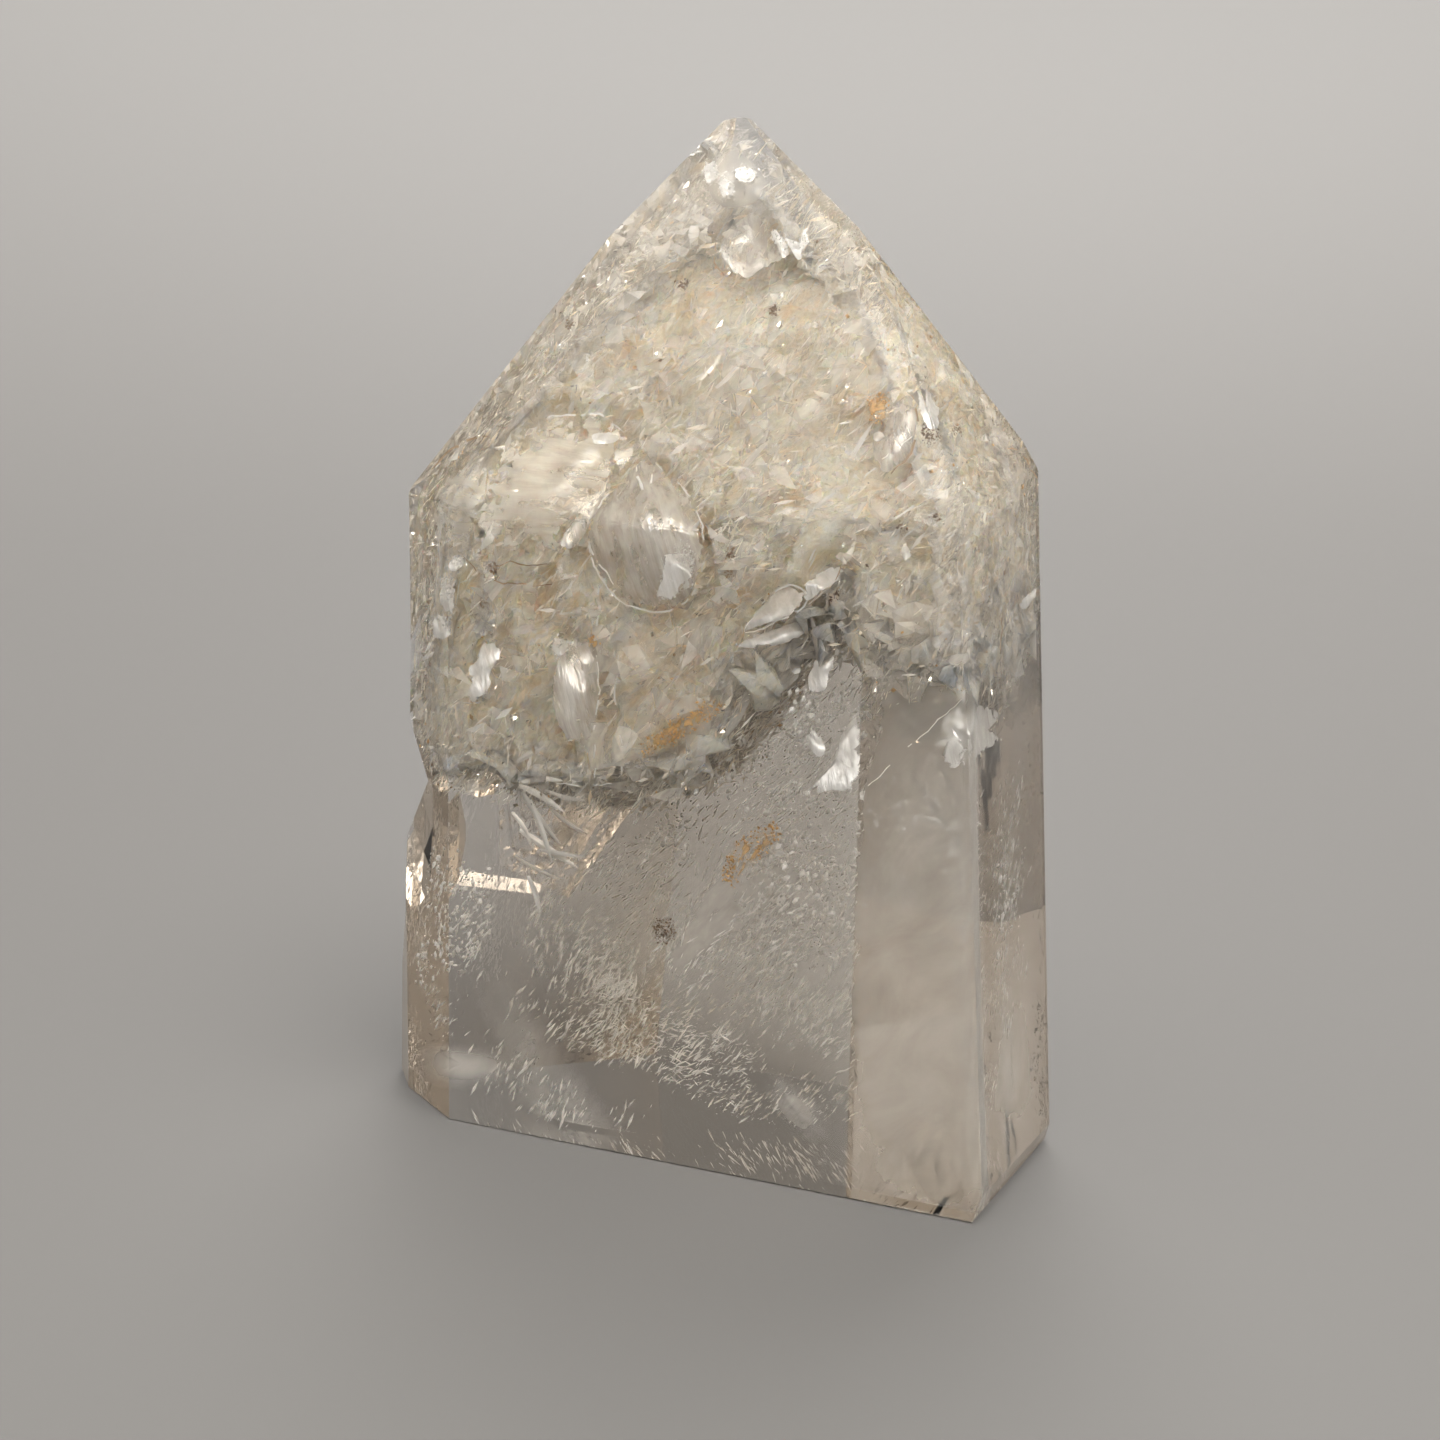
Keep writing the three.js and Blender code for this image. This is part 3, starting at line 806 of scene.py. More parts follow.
    flow = add_node(tree, "ShaderNodeTexNoise", {"Vector": here.outputs[0],
                                                 "Scale": given.outputs["Swirl Scale"],
                                                 "Detail": 1.0})
    centred = add_node(tree, "ShaderNodeVectorMath", {0: flow.outputs["Color"], 1: (0.5, 0.5, 0.5)},
                       operation="SUBTRACT")
    bent = add_node(tree, "ShaderNodeVectorMath", {0: scaled(centred.outputs[0], given.outputs["Swirl"]),
                                                   1: given.outputs["Growth"]}, operation="ADD")
    along = add_node(tree, "FunctionNodeAlignRotationToVector", {"Vector": bent.outputs[0]}, axis="X")
    lean = scaled(random_vector((-1.0,) * 3, (1.0,) * 3, 37), given.outputs["Lean"])
    lean_turn = add_node(tree, "FunctionNodeEulerToRotation", {"Euler": lean})
    turned = add_node(tree, "FunctionNodeRotateRotation", {"Rotation": along.outputs[0],
                                                           "Rotate By": lean_turn.outputs[0]})
    chip = add_node(tree, "GeometryNodeMeshUVSphere", {"Segments": given.outputs["Sides"], "Rings": 2,
                                                       "Radius": 1.0})
    laid = add_node(tree, "GeometryNodeInstanceOnPoints", {
        "Points": kept.outputs[0], "Instance": chip.outputs["Mesh"], "Rotation": turned.outputs[0],
        "Scale": scaled(given.outputs["Stretch"], kept_size.outputs[0])})
    joined = add_node(tree, "GeometryNodeRealizeInstances", {"Geometry": laid.outputs[0]})
    coated = add_node(tree, "GeometryNodeSetMaterial", {"Geometry": joined.outputs[0],
                                                        "Material": given.outputs["Material"]})
    tree.links.new(coated.outputs[0], out.inputs["Chips"])
    return tree


def strew(name, hosts, material, **sizes):
    """One plain mesh of chips strewn about the host sheets."""
    merged = bmesh.new()
    for host in hosts:
        merged.from_mesh(host)
    host = hidden_object(name + "_host", mesh_from(merged, name + "_host"))
    tree = bpy.data.node_groups.get("strew_chips") or scatter_tree()
    modifier = host.modifiers.new("strew", "NODES")
    modifier.node_group = tree
    sockets = {item.name: item.identifier for item in tree.interface.items_tree if item.in_out == "INPUT"}
    modifier[sockets["Stone"]] = STONE
    modifier[sockets["Material"]] = material
    for label, value in sizes.items():
        modifier[sockets[label.replace("_", " ")]] = value
    mesh = evaluated(host)
    mesh.name = name
    for vert in mesh.vertices:
        if depth_in_stone(vert.co) < 0:
            vert.co = inset(vert.co, CHIP_GAP)
    return new_piece(name, mesh)


# Sheets, masses, shells and blades


def drawn_in_form(gap, bottom):
    """The flat-faced form of the stone, drawn in by a gap and cut off at a level, as a closed mesh."""
    low, high = Vector(CAD_BOUNDS[0]), Vector(CAD_BOUNDS[1])
    bm = bmesh.new()
    bmesh.ops.create_cube(bm, size=1.0)
    for vert in bm.verts:
        vert.co = Vector(((low[k] + high[k]) / 2 + vert.co[k] * (high[k] - low[k]) * 1.2 for k in range(3)))
    cuts = [(normal, reach - gap) for normal, reach in PLANES] + [(Vector((0, 0, -1)), -bottom)]
    for normal, reach in cuts:
        cut = bmesh.ops.bisect_plane(bm, geom=bm.verts[:] + bm.edges[:] + bm.faces[:], dist=1e-7,
                                     plane_co=normal * reach, plane_no=normal, clear_outer=True)
        edges = [part for part in cut["geom_cut"] if isinstance(part, bmesh.types.BMEdge)]
        if edges:
            bmesh.ops.edgenet_fill(bm, edges=edges)
    bmesh.ops.recalc_face_normals(bm, faces=bm.faces)
    return mesh_from(bm, "drawn_in")


def drawn_fractures():
    """Points on the fractures that are drawn one by one, which the rest of the cloud leaves free."""
    meshes = [bpy.data.objects[name].data for name in DRAWN_PIECES if name in bpy.data.objects]
    places = [vert.co for mesh in meshes for vert in mesh.vertices]
    tree = KDTree(len(places))
    for k, place in enumerate(places):
        tree.insert(place, k)
    tree.balance()
    return tree


def cloud_form(gap, step, bottom=44 * MM):
    """The cloud's outer form at a gap behind the stone's faces, in even facets, down to its lower border."""
    top = 80 * MM
    form = hidden_object("cloud_form", drawn_in_form(gap, bottom))
    mesh = evaluated(form, "REMESH", mode="VOXEL", voxel_size=step)
    bm = bmesh.new()
    bm.from_mesh(mesh)
    for vert in bm.verts:
        if vert.co.z < top:
            border = cloud_floor(vert.co.x) + ragged(vert.co)
            vert.co.z = top - (top - vert.co.z) / (top - bottom) * (top - border)
    return bm


def keep_inside(bm, gap):
    """Moves each vertex in from the nearest face, again near an edge, until it is a gap inside the stone."""
    most_moves = 6
    for vert in bm.verts:
        for _ in range(most_moves):
            if depth_in_stone(vert.co) >= gap:
                break
            vert.co = inset(vert.co, gap)


def heart_mesh(settings, free):
    """One crumpled mass of long broken facets, some way behind the faces of the stone."""
    bm = cloud_form(2.4 * MM, settings.facet)
    bm.normal_update()
    moves = []
    for vert in bm.verts:
        fold = 0.5 + 0.5 * noise.noise(vert.co / (13 * MM))
        large = cell_lift(vert.co, 6.5 * MM, settings.seed)[0]
        middle = cell_lift(vert.co, 2.6 * MM, settings.seed + 1)[0]
        small = cell_lift(vert.co, 1.1 * MM, settings.seed + 2)[0]
        sink = 3.0 * fold + 1.5 * (0.5 + large) + 1.1 * (0.4 + middle) + 0.5 * small
        sink += max(0.0, 2.2 - free.find(vert.co)[2] / MM)
        moves.append(vert.normal * (-max(sink, 0.0) * MM))
    for vert, move in zip(bm.verts, moves):
        vert.co += move
    keep_inside(bm, 1.2 * MM)
    bmesh.ops.triangulate(bm, faces=bm.faces[:])
    tone = bm.faces.layers.float.new("facet_tone")
    for face in bm.faces:
        nearest = cell_lift(face.calc_center_median(), 2.6 * MM, settings.seed + 1)[1]
        face[tone] = min(max(0.5 + 0.9 * noise.noise(nearest * 3.7), 0.0), 1.0)
    return mesh_from(bm, "cloud_heart")


def shattered_form(gap, step, seed, free, room=2.4 * MM, tilt=0.22, bottom=44 * MM):
    """The cloud's form broken into uneven flat pieces, each tilted, with room left about drawn fractures."""
    chance = random.Random(seed)
    bm = cloud_form(gap, step, bottom)
    for vert in bm.verts:
        vert.co += Vector([chance.uniform(-0.36, 0.36) for _ in range(3)]) * step
    bmesh.ops.triangulate(bm, faces=bm.faces[:])
    inner = [edge for edge in bm.edges if len(edge.link_faces) == 2]
    bmesh.ops.dissolve_edges(bm, edges=[edge for edge in inner if chance.random() < 0.38], use_verts=False)
    bmesh.ops.split_edges(bm, edges=bm.edges[:])
    for face in bm.faces:
        middle = face.calc_center_median()
        axis = Vector([chance.uniform(-1.0, 1.0) for _ in range(3)]).normalized()
        turn = Matrix.Rotation(chance.gauss(0.0, tilt), 3, axis)
        for vert in face.verts:
            vert.co = middle + turn @ (vert.co - middle)
    near = [face for face in bm.faces if min(depth_in_stone(vert.co) for vert in face.verts) < 0.5 * MM
            or free.find(face.calc_center_median())[2] < room]
    bmesh.ops.delete(bm, geom=near, context="FACES")
    bmesh.ops.triangulate(bm, faces=bm.faces[:])
    return mesh_from(bm, "film")


def folded_sheet(name, centre, facing, up, width, height, folds, step, seed, gap=0.6 * MM):
    """A folded sheet about a centre, kept to the inside of the stone."""
    facing = Vector(facing).normalized()
    right = Vector(up).cross(facing).normalized()
    up = facing.cross(right)
    across, tall = max(2, round(width / step)), max(2, round(height / step))
    bm = bmesh.new()
    rows = []
    for j in range(tall + 1):
        row = []
        for i in range(across + 1):
            place = centre + right * ((i / across - 0.5) * width) + up * ((j / tall - 0.5) * height)
            for size, lift in folds:
                place = place + facing * lift * noise.noise(place / size + Vector((seed * 7.3, seed * 1.7,
                                                                                   0.0)))
            row.append(bm.verts.new(place))
        rows.append(row)
    for j in range(tall):
        for i in range(across):
            bm.faces.new((rows[j][i], rows[j][i + 1], rows[j + 1][i + 1], rows[j + 1][i]))
    near = [vert for vert in bm.verts if depth_in_stone(vert.co) < gap]
    bmesh.ops.delete(bm, geom=near, context="VERTS")
    return mesh_from(bm, name)


def add_shell(bm, rim, centre, facing, up, width, height, bulge, seed, point=0.0, rings=5, sides=26,
              thin=0.0):
    """A curved fracture like the inside of a mussel shell, with growth ripples; its rim is marked."""
    facing = Vector(facing).normalized()
    right = Vector(up).cross(facing).normalized()
    up = facing.cross(right)
    hub = bm.verts.new(centre + facing * bulge)
    hub[rim] = thin
    loops = []
    for ring in range(1, rings + 1):
        share = ring / rings
        loop = []
        for k in range(sides):
            angle = 2 * math.pi * k / sides
            uneven = 1 + 0.28 * noise.noise(Vector((math.cos(angle), math.sin(angle), seed * 3.7)) * 1.6)
            sharp = 1 + point * (max(math.sin(angle), 0.0) ** 6 - 0.15)
            u = math.cos(angle) * share * uneven * width / 2
            v = math.sin(angle) * share * uneven * sharp * height / 2
            ripple = 0.06 * math.sin(9 * share + 2.2 * math.sin(angle + seed))
            lift = bulge * (1 - share ** 2 + ripple)
            vert = bm.verts.new(centre + right * u + up * v + facing * lift)
            vert[rim] = thin + (1 - thin) * share
            loop.append(vert)
        loops.append(loop)
    for k in range(sides):
        after = (k + 1) % sides
        bm.faces.new((hub, loops[0][k], loops[0][after]))
        for inner, outer in zip(loops, loops[1:]):
            bm.faces.new((inner[k], outer[k], outer[after], inner[after]))


def trimmed(bm, gap=0.4 * MM):
    """Takes off what would come nearer than a gap to the stone's surface."""
    near = [vert for vert in bm.verts if depth_in_stone(vert.co) < gap]
    bmesh.ops.delete(bm, geom=near, context="VERTS")
    return bm


def cloud_shells(settings, films):
    """Curved fractures of many sizes among the films, mostly turned to the nearest face."""
    chance = random.Random(settings.seed + 40)
    spots = [(face.center.copy(), face.normal.copy()) for mesh in films for face in mesh.polygons]
    bm = bmesh.new()
    rim = bm.verts.layers.float.new("rim")
    for k in range(settings.shells):
        place, _ = chance.choice(spots)
        nearest, outward, _, _ = STONE_TREE.find_nearest(place)
        lean = Vector([chance.uniform(-0.7, 0.7) for _ in range(3)])
        facing = (outward + lean).normalized()
        size = (2.0 + 6.5 * chance.random() ** 2.2) * MM
        centre = nearest - outward * (1.2 * MM + 0.5 * size + chance.uniform(0.0, 3.0) * MM)
        up = GROWTH + Vector([chance.uniform(-0.5, 0.5) for _ in range(3)])
        add_shell(bm, rim, centre, facing, up, size * chance.uniform(0.55, 0.9), size * 1.25,
                  size * chance.uniform(-0.28, 0.28), k, point=chance.choice((0.0, 0.35)), rings=4, sides=18)
    return mesh_from(trimmed(bm), "cloud_shells")


def add_blade(bm, root, tip, side, width, bow, steps=7):
    """A splinter that tapers and bends from its root to its tip; side is the way it is wide."""
    along = tip - root
    side = Vector(side).normalized()
    thick = along.cross(side).normalized()
    rings = []
    for k in range(steps + 1):
        share = k / steps
        half = width / 2 * (0.12 + 0.88 * math.sin(math.pi * min(0.12 + 0.88 * share, 1.0)) ** 0.7)
        middle = root + along * share + side * bow * math.sin(math.pi * share)
        corners = (side * half, thick * half * 0.22, side * -half, thick * half * -0.22)
        rings.append([bm.verts.new(middle + corner) for corner in corners])
    for lower, upper in zip(rings, rings[1:]):
        for k in range(4):
            after = (k + 1) % 4
            bm.faces.new((lower[k], lower[after], upper[after], upper[k]))
    bm.faces.new(rings[0][::-1])
    bm.faces.new(rings[-1])


def rounded(outline, parts=4):
    """A closed outline as a smooth line of more points."""
    count = len(outline)
    line = []
    for k in range(count):
        before, here, after, later = (Vector(outline[(k + j - 1) % count]) for j in range(4))
        for i in range(parts):
            t = i / parts
            line.append(0.5 * (2 * here + (after - before) * t
                               + (2 * before - 5 * here + 4 * after - later) * t ** 2
                               + (3 * here - before - 3 * after + later) * t ** 3))
    return line


def add_patch(bm, rim, outline, depth, bulge=0.0, lean=(0.0, 0.0), waves=0.25, rings=6):
    """A fracture that fills an outline of the photograph, a depth behind the face that it shows through."""
    line = rounded(outline)
    middle = sum(line, Vector((0.0, 0.0))) / len(line)

    def placed(spot, share):
        away = (spot - middle) * PIXEL
        wave = waves * noise.noise(Vector((spot.x, spot.y, depth)) / 21.0)
        level = depth - bulge * (1 - share ** 2) + away.x * lean[0] + away.y * lean[1] + wave
        vert = bm.verts.new(seen_at(spot.x, spot.y, max(level, LEAST_DEPTH)))
        vert[rim] = share
        return vert

    hub = placed(middle, 0.0)
    loops = [[placed(middle.lerp(spot, ring / rings), ring / rings) for spot in line]
             for ring in range(1, rings + 1)]
    for k in range(len(line)):
        after = (k + 1) % len(line)
        bm.faces.new((hub, loops[0][after], loops[0][k]))
        for inner, outer in zip(loops, loops[1:]):
            bm.faces.new((inner[k], inner[after], outer[after], outer[k]))


def patches_mesh(name, patches):
    """One mesh of drawn patches, each an outline with its depth, bulge and lean."""
    bm = bmesh.new()
    rim = bm.verts.layers.float.new("rim")
    for outline, depth, bulge, lean in patches:
        add_patch(bm, rim, outline, depth, bulge, lean)
    return mesh_from(bm, name)


def add_ribbon(bm, path, width, depth, step=5.0):
    """A narrow line along a path of the photograph that wavers, breaks off and thins to its ends."""
    spots = []
    for start, end in zip(path, path[1:]):
        start, end = Vector(start), Vector(end)
        parts = max(1, round((end - start).length / step))
        spots += [start.lerp(end, k / parts) for k in range(parts)]
    spots.append(Vector(path[-1]))
    pairs = []
    for k, spot in enumerate(spots):
        along = (spots[min(k + 1, len(spots) - 1)] - spots[max(k - 1, 0)]).normalized()
        side = Vector((-along.y, along.x))
        waver = side * 2.2 * noise.noise(Vector((spot.x, spot.y, 3.0)) / 9.0)
        thin = 0.25 + 0.75 * math.sin(math.pi * (k + 0.5) / len(spots)) ** 0.5
        half = side * width / 2 * thin * (1 + 0.6 * noise.noise(Vector((spot.y, spot.x, 8.0)) / 6.0))
        pairs.append([bm.verts.new(seen_at(*(spot + waver + shift), depth)) for shift in (half, -half)])
    for spot, (left, right), (next_left, next_right) in zip(spots, pairs, pairs[1:]):
        if noise.noise(Vector((spot.x, spot.y, 5.0)) / 11.0) > -0.12:
            bm.faces.new((left, right, next_right, next_left))


def ribbons_mesh(name, lines, depth):
    bm = bmesh.new()
    for width, path in lines:
        add_ribbon(bm, path, width, depth)
    return mesh_from(bm, name)


def splinters_mesh(name, depth):
    """Long thin splinters, each turned a little on its own."""
    chance = random.Random(12)
    bm = bmesh.new()
    for width, root, tip in SPLINTERS:
        start, end = seen_at(*root, depth), seen_at(*tip, depth + chance.uniform(-1.0, 1.0))
        side = (end - start).cross(Vector((chance.uniform(-0.5, 0.5), 1.0, chance.uniform(-0.6, 0.6))))
        add_blade(bm, start, end, side, width * PIXEL * MM, chance.uniform(-0.4, 0.4) * MM)
    return mesh_from(bm, name)


def haze_sheet(bm, rim, across, down, depth, width, height, lean, seed, facing=FRONT, thin=0.0):
    """A broad sheet of haze about a pixel of the photograph, clearer to its rim; thin clears its middle."""
    add_shell(bm, rim, seen_at(across, down, depth), facing, (lean, 0.0, 1.0), width * MM, height * MM,
              1.5 * MM,
              seed, rings=10, sides=44, thin=thin)


def bowl_mesh():
    """A round pale floor that rises gently far from the stone, the same from every side."""
    under, flat, reach, rise, steps, turns = -0.2 * MM, 0.45, 1.15, 0.33, 16, 96
    radius = (reach ** 2 + rise ** 2) / (2 * rise)
    steepest = math.asin(reach / radius)
    profile = [(0.0, under)]
    for k in range(steps + 1):
        angle = steepest * k / steps
        profile.append((flat + radius * math.sin(angle), under + radius * (1 - math.cos(angle))))
    bm = bmesh.new()
    edge = [bm.verts.new((out, 0.0, level)) for out, level in profile]
    lines = [bm.edges.new(pair) for pair in zip(edge, edge[1:])]
    bmesh.ops.spin(bm, geom=edge + lines, cent=(0, 0, 0), axis=(0, 0, 1), angle=2 * math.pi, steps=turns)
    bmesh.ops.remove_doubles(bm, verts=bm.verts, dist=0.01 * MM)
    bmesh.ops.recalc_face_normals(bm, faces=bm.faces)
    if min(bm.faces, key=lambda face: face.calc_center_median().length).normal.z < 0:
        bmesh.ops.reverse_faces(bm, faces=bm.faces)
    return mesh_from(bm, "floor")


# Operators


class OBJECT_OT_quartz_body(bpy.types.Operator):
    """Polished clear stone with worn edges, in place of the plain solid"""

    bl_idname = "object.quartz_body"
    bl_label = "Quartz body"

    def execute(self, context):
        settings = context.scene.quartz_body
        bm = bmesh.new()
        bm.from_mesh(STONE.data)
        bmesh.ops.remove_doubles(bm, verts=bm.verts, dist=0.01 * MM)
        bmesh.ops.dissolve_limit(bm, angle_limit=math.radians(0.4), verts=bm.verts, edges=bm.edges)
        bm.normal_update()
        worn = [edge for edge in bm.edges if edge.calc_length() > 4 * MM and len(edge.link_faces) == 2
                and edge.calc_face_angle() > math.radians(9) and self.on_broad_face(edge)]
        bmesh.ops.bevel(bm, geom=worn, offset=settings.edge_round, segments=2, profile=0.5, affect="EDGES",
                        clamp_overlap=True)
        natural = bm.faces.layers.float.new("natural")
        for face in bm.faces:
            middle = face.calc_center_median()
            inner = min(reach - normal.dot(middle) for normal, reach in PLANES)
            face[natural] = 1.0 if inner > 0.3 * MM and middle.z < 95 * MM else 0.0
        piece = new_piece("crystal_body", mesh_from(bm, "crystal_body"), clear_quartz(settings))
        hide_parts("quartz_crystal")
        return {"FINISHED"}

    @staticmethod
    def on_broad_face(edge):
        """True where both ends of an edge lie on a broad polished face."""
        return any(all(abs(reach - normal.dot(vert.co)) < 0.02 * MM for vert in edge.verts)
                   for normal, reach in PLANES)


class OBJECT_OT_quartz_fractures(bpy.types.Operator):
    """Broad slabs, the almond, white splits with painted highlights, seams and splinters that are told apart
    in the stone
    """

    bl_idname = "object.quartz_fractures"
    bl_label = "Drawn fractures"

    def execute(self, context):
        settings = context.scene.quartz_cloud
        level_lines = ((0.16, 1.0, 0.9), (0.0, math.radians(-3.0), 0.0))
        steep_lines = ((1.4, 1.0, 0.12), (0.0, math.radians(18.0), 0.0))
        slabs = ((BROAD_SLAB, 2.4, 0.9, (0.05, -0.15)), (OUTER_SLAB, 2.2, 0.6, (-0.1, 0.0)),
                 (CREAM_COLUMN, 2.2, 0.2, (0.0, 0.2)))
        new_piece("broad_slabs", patches_mesh("broad_slabs", slabs),
                  drawn_material("cream_slab", (0.91, 0.84, 0.72), (0.98, 0.93, 0.83), 0.44, 0.45,
                                 level_lines, shine=0.2),
                  smooth=True)
        glassy = ((ALMOND, 3.6, 2.6, (0.0, -0.1)), (ALMOND_SIDE, 2.4, 0.4, (0.3, -0.3)),
                  (APEX_BOWL, 2.6, -1.4, (0.0, -0.2)), (BROWN_RIMMED, 2.4, 1.1, (0.0, -0.2)),
                  (GLASSY_LOWER, 2.6, 0.8, (0.2, -0.2)))
        new_piece("glassy_fractures", patches_mesh("glassy_fractures", glassy),
                  drawn_material("grey_glass_fracture", (0.66, 0.61, 0.54), (0.92, 0.89, 0.84), 0.7, 0.12,
                                 steep_lines, shine=0.4, roughness=0.1), smooth=True)
        # White patches, partly pale fractures and partly painted highlights and reflections; the windows
        # among them paint light seen through the stone.
        lights = [(outline, 1.4, 0.3, (0.35, -0.8)) for outline in (
            SLAB_PAINTED_HIGHLIGHT, SLAB_HIGHLIGHT_STREAK, *LEFT_PAINTED_HIGHLIGHTS, ALMOND_FROST_HIGHLIGHT, *APEX_PAINTED_HIGHLIGHTS, APEX_HOOK, *RIGHT_PAINTED_HIGHLIGHTS,
            CRESCENT_LOBE)]
        lights += [(outline, 2.6, 0.2, (0.0, -0.3)) for outline in (*PAINTED_LIGHT_WINDOWS, *PETALS)]
        lights += [(outline, 2.2, 0.7, (0.1, -0.8)) for outline in (CRESCENT, CRESCENT_FOOT)]
        new_piece("white_splits", patches_mesh("white_splits", lights),
                  drawn_material("white_split_and_painted_highlight", settings.white, (1.0, 1.0, 0.98), 0.9, 0.35, steep_lines,
                                 shine=0.32), smooth=True)
        # White chips crowded on the highlight patches paint their sparkle; being partly metallic, they also
        # reflect the lights.
        frost_and_highlight_patches = patches_mesh("frost_and_highlight_patches", [(outline, 1.4, 0.3, (0.0, -0.5)) for outline in (
            ALMOND_FROST_HIGHLIGHT, SLAB_PAINTED_HIGHLIGHT, *LEFT_PAINTED_HIGHLIGHTS, *APEX_PAINTED_HIGHLIGHTS, APEX_HOOK)])
        frost_and_highlight_look = chip_material("frost_glints", (settings.white, (0.99, 0.99, 0.98)), 0.2, metallic=0.4)
        strew("frost_glints", [frost_and_highlight_patches], frost_and_highlight_look, Per_Area=4.6e7, Patch_Scale=600.0, Patch_Level=0.42,
              Spread=0.4 * MM, Smallest=0.08 * MM, Largest=0.32 * MM, Stretch=(1.0, 0.6, 0.15), Lean=1.0,
              Sides=4, Seed=51)
        rims = [(1.8, (*rounded(outline, 2), outline[0])) for outline in (ALMOND, CRESCENT)]
        new_piece("bright_seams", ribbons_mesh("bright_seams", (*BRIGHT_SEAMS, *rims), 1.3),
                  plain_material("bright_seam", settings.white, 0.2))
        new_piece("splinters", splinters_mesh("splinters", 2.8),
                  chip_material("splinter_glass", (settings.white, (0.75, 0.72, 0.66), settings.cream), 0.35,
                                metallic=0.2))
        return {"FINISHED"}


class OBJECT_OT_quartz_stains(bpy.types.Operator):
    """Rust stains, dark grains and dark cracks"""

    bl_idname = "object.quartz_stains"
    bl_label = "Stains and cracks"

    def execute(self, context):
        settings = context.scene.quartz_cloud
        ochre = patches_mesh("ochre_stains", [(outline, 1.0, 0.2, (0.0, 0.0)) for outline in OCHRE_BLOTS])
        dark = patches_mesh("dark_blots", [(outline, 1.2, 0.2, (0.0, 0.0)) for outline in DARK_BLOTS])
        new_piece("ochre_stains", ochre, stain_material(settings), smooth=True)
        rust = chip_material("rust_grains", (settings.ochre, (0.78, 0.50, 0.20), (0.40, 0.22, 0.08)), 0.45)
        strew("rust_grains", [ochre], rust, Per_Area=3.2e7, Patch_Scale=500.0, Patch_Level=0.5,
              Spread=0.3 * MM,
              Smallest=0.05 * MM, Largest=0.3 * MM, Stretch=(1.0, 0.8, 0.6), Lean=1.5, Sides=4, Seed=41)
        umber = chip_material("dark_grains", (settings.umber, (0.22, 0.13, 0.06)), 0.45)
        strew("dark_grains", [dark], umber, Per_Area=5.0e7, Patch_Scale=500.0, Patch_Level=0.46,
              Spread=0.25 * MM,
              Smallest=0.06 * MM, Largest=0.28 * MM, Stretch=(1.0, 0.8, 0.6), Lean=1.5, Sides=4, Seed=43)
        new_piece("dark_cracks", ribbons_mesh("dark_cracks", DARK_CRACKS, 1.1),
                  plain_material("dark_crack", (0.34, 0.23, 0.13), 0.5))
        return {"FINISHED"}


class OBJECT_OT_quartz_cloud(bpy.types.Operator):
    """Broken mass, films, shells, flakes, fibres and grains that fill the upper part of the stone"""

    bl_idname = "object.quartz_cloud"
    bl_label = "Cloudy upper part"

    def execute(self, context):
        settings = context.scene.quartz_cloud
        free = drawn_fractures()
        new_piece("cloud_heart", heart_mesh(settings, free), broken_quartz(settings))
        films = [shattered_form(1.4 * MM, settings.film_step, settings.seed, free),
                 shattered_form(3.2 * MM, settings.film_step * 1.2, settings.seed + 1, free),
                 shattered_form(5.4 * MM, settings.film_step, settings.seed + 3, free, room=1.0 * MM),
                 shattered_form(0.9 * MM, 1.0 * MM, settings.seed + 2, free, bottom=104 * MM)]
        joined = bmesh.new()
        for film in films:
            joined.from_mesh(film)
        film_look = film_material("cream_film", settings.cream, settings.white, 0.02, 0.6)
        new_piece("cloud_films", mesh_from(joined, "cloud_films"), film_look)
        shell_look = shell_material("curved_fracture", (0.97, 0.93, 0.86), 0.05, 0.36, shine=0.2)
        new_piece("cloud_shells", cloud_shells(settings, films), shell_look, smooth=True)
        shades = (settings.white, settings.cream, settings.white, settings.tan, settings.white)
        strew("cloud_flakes", films, chip_material("cream_flakes", shades, 0.3),
              Per_Area=settings.flake_share,
              Patch_Scale=170.0, Patch_Level=0.5, Spread=1.8 * MM, Smallest=0.14 * MM, Largest=1.0 * MM,
              Stretch=(1.6, 0.5, 0.10), Lean=0.8, Sides=4, Seed=5)
        strew("cloud_fibres", films, chip_material("pale_fibres", (settings.white, settings.cream), 0.3),
              Per_Area=settings.fibre_share, Patch_Scale=120.0, Patch_Level=0.5, Spread=1.8 * MM,
              Smallest=0.3 * MM, Largest=2.4 * MM, Stretch=(1.0, 0.07, 0.06), Lean=0.35, Swirl=0.8, Sides=3,
              Seed=17)
        glints = chip_material("bright_glints", ((0.97, 0.95, 0.91), (0.90, 0.86, 0.78)), 0.15, metallic=1.0)
        strew("cloud_glints", films, glints, Per_Area=settings.glint_share, Patch_Scale=220.0,
              Patch_Level=0.53, Spread=1.8 * MM, Smallest=0.1 * MM, Largest=0.6 * MM, Stretch=(1.2, 0.7, 0.1),
              Lean=1.3, Sides=4, Seed=9)
        grains = chip_material("brown_grains", (settings.umber, settings.ochre, (0.30, 0.18, 0.08)), 0.5)
        strew("cloud_grains", films, grains, Per_Area=settings.grain_share, Patch_Scale=240.0,
              Patch_Level=0.6, Spread=1.8 * MM, Smallest=0.06 * MM, Largest=0.5 * MM, Stretch=(1.0, 0.8, 0.6),
              Lean=1.5, Sides=4, Seed=13)
        return {"FINISHED"}


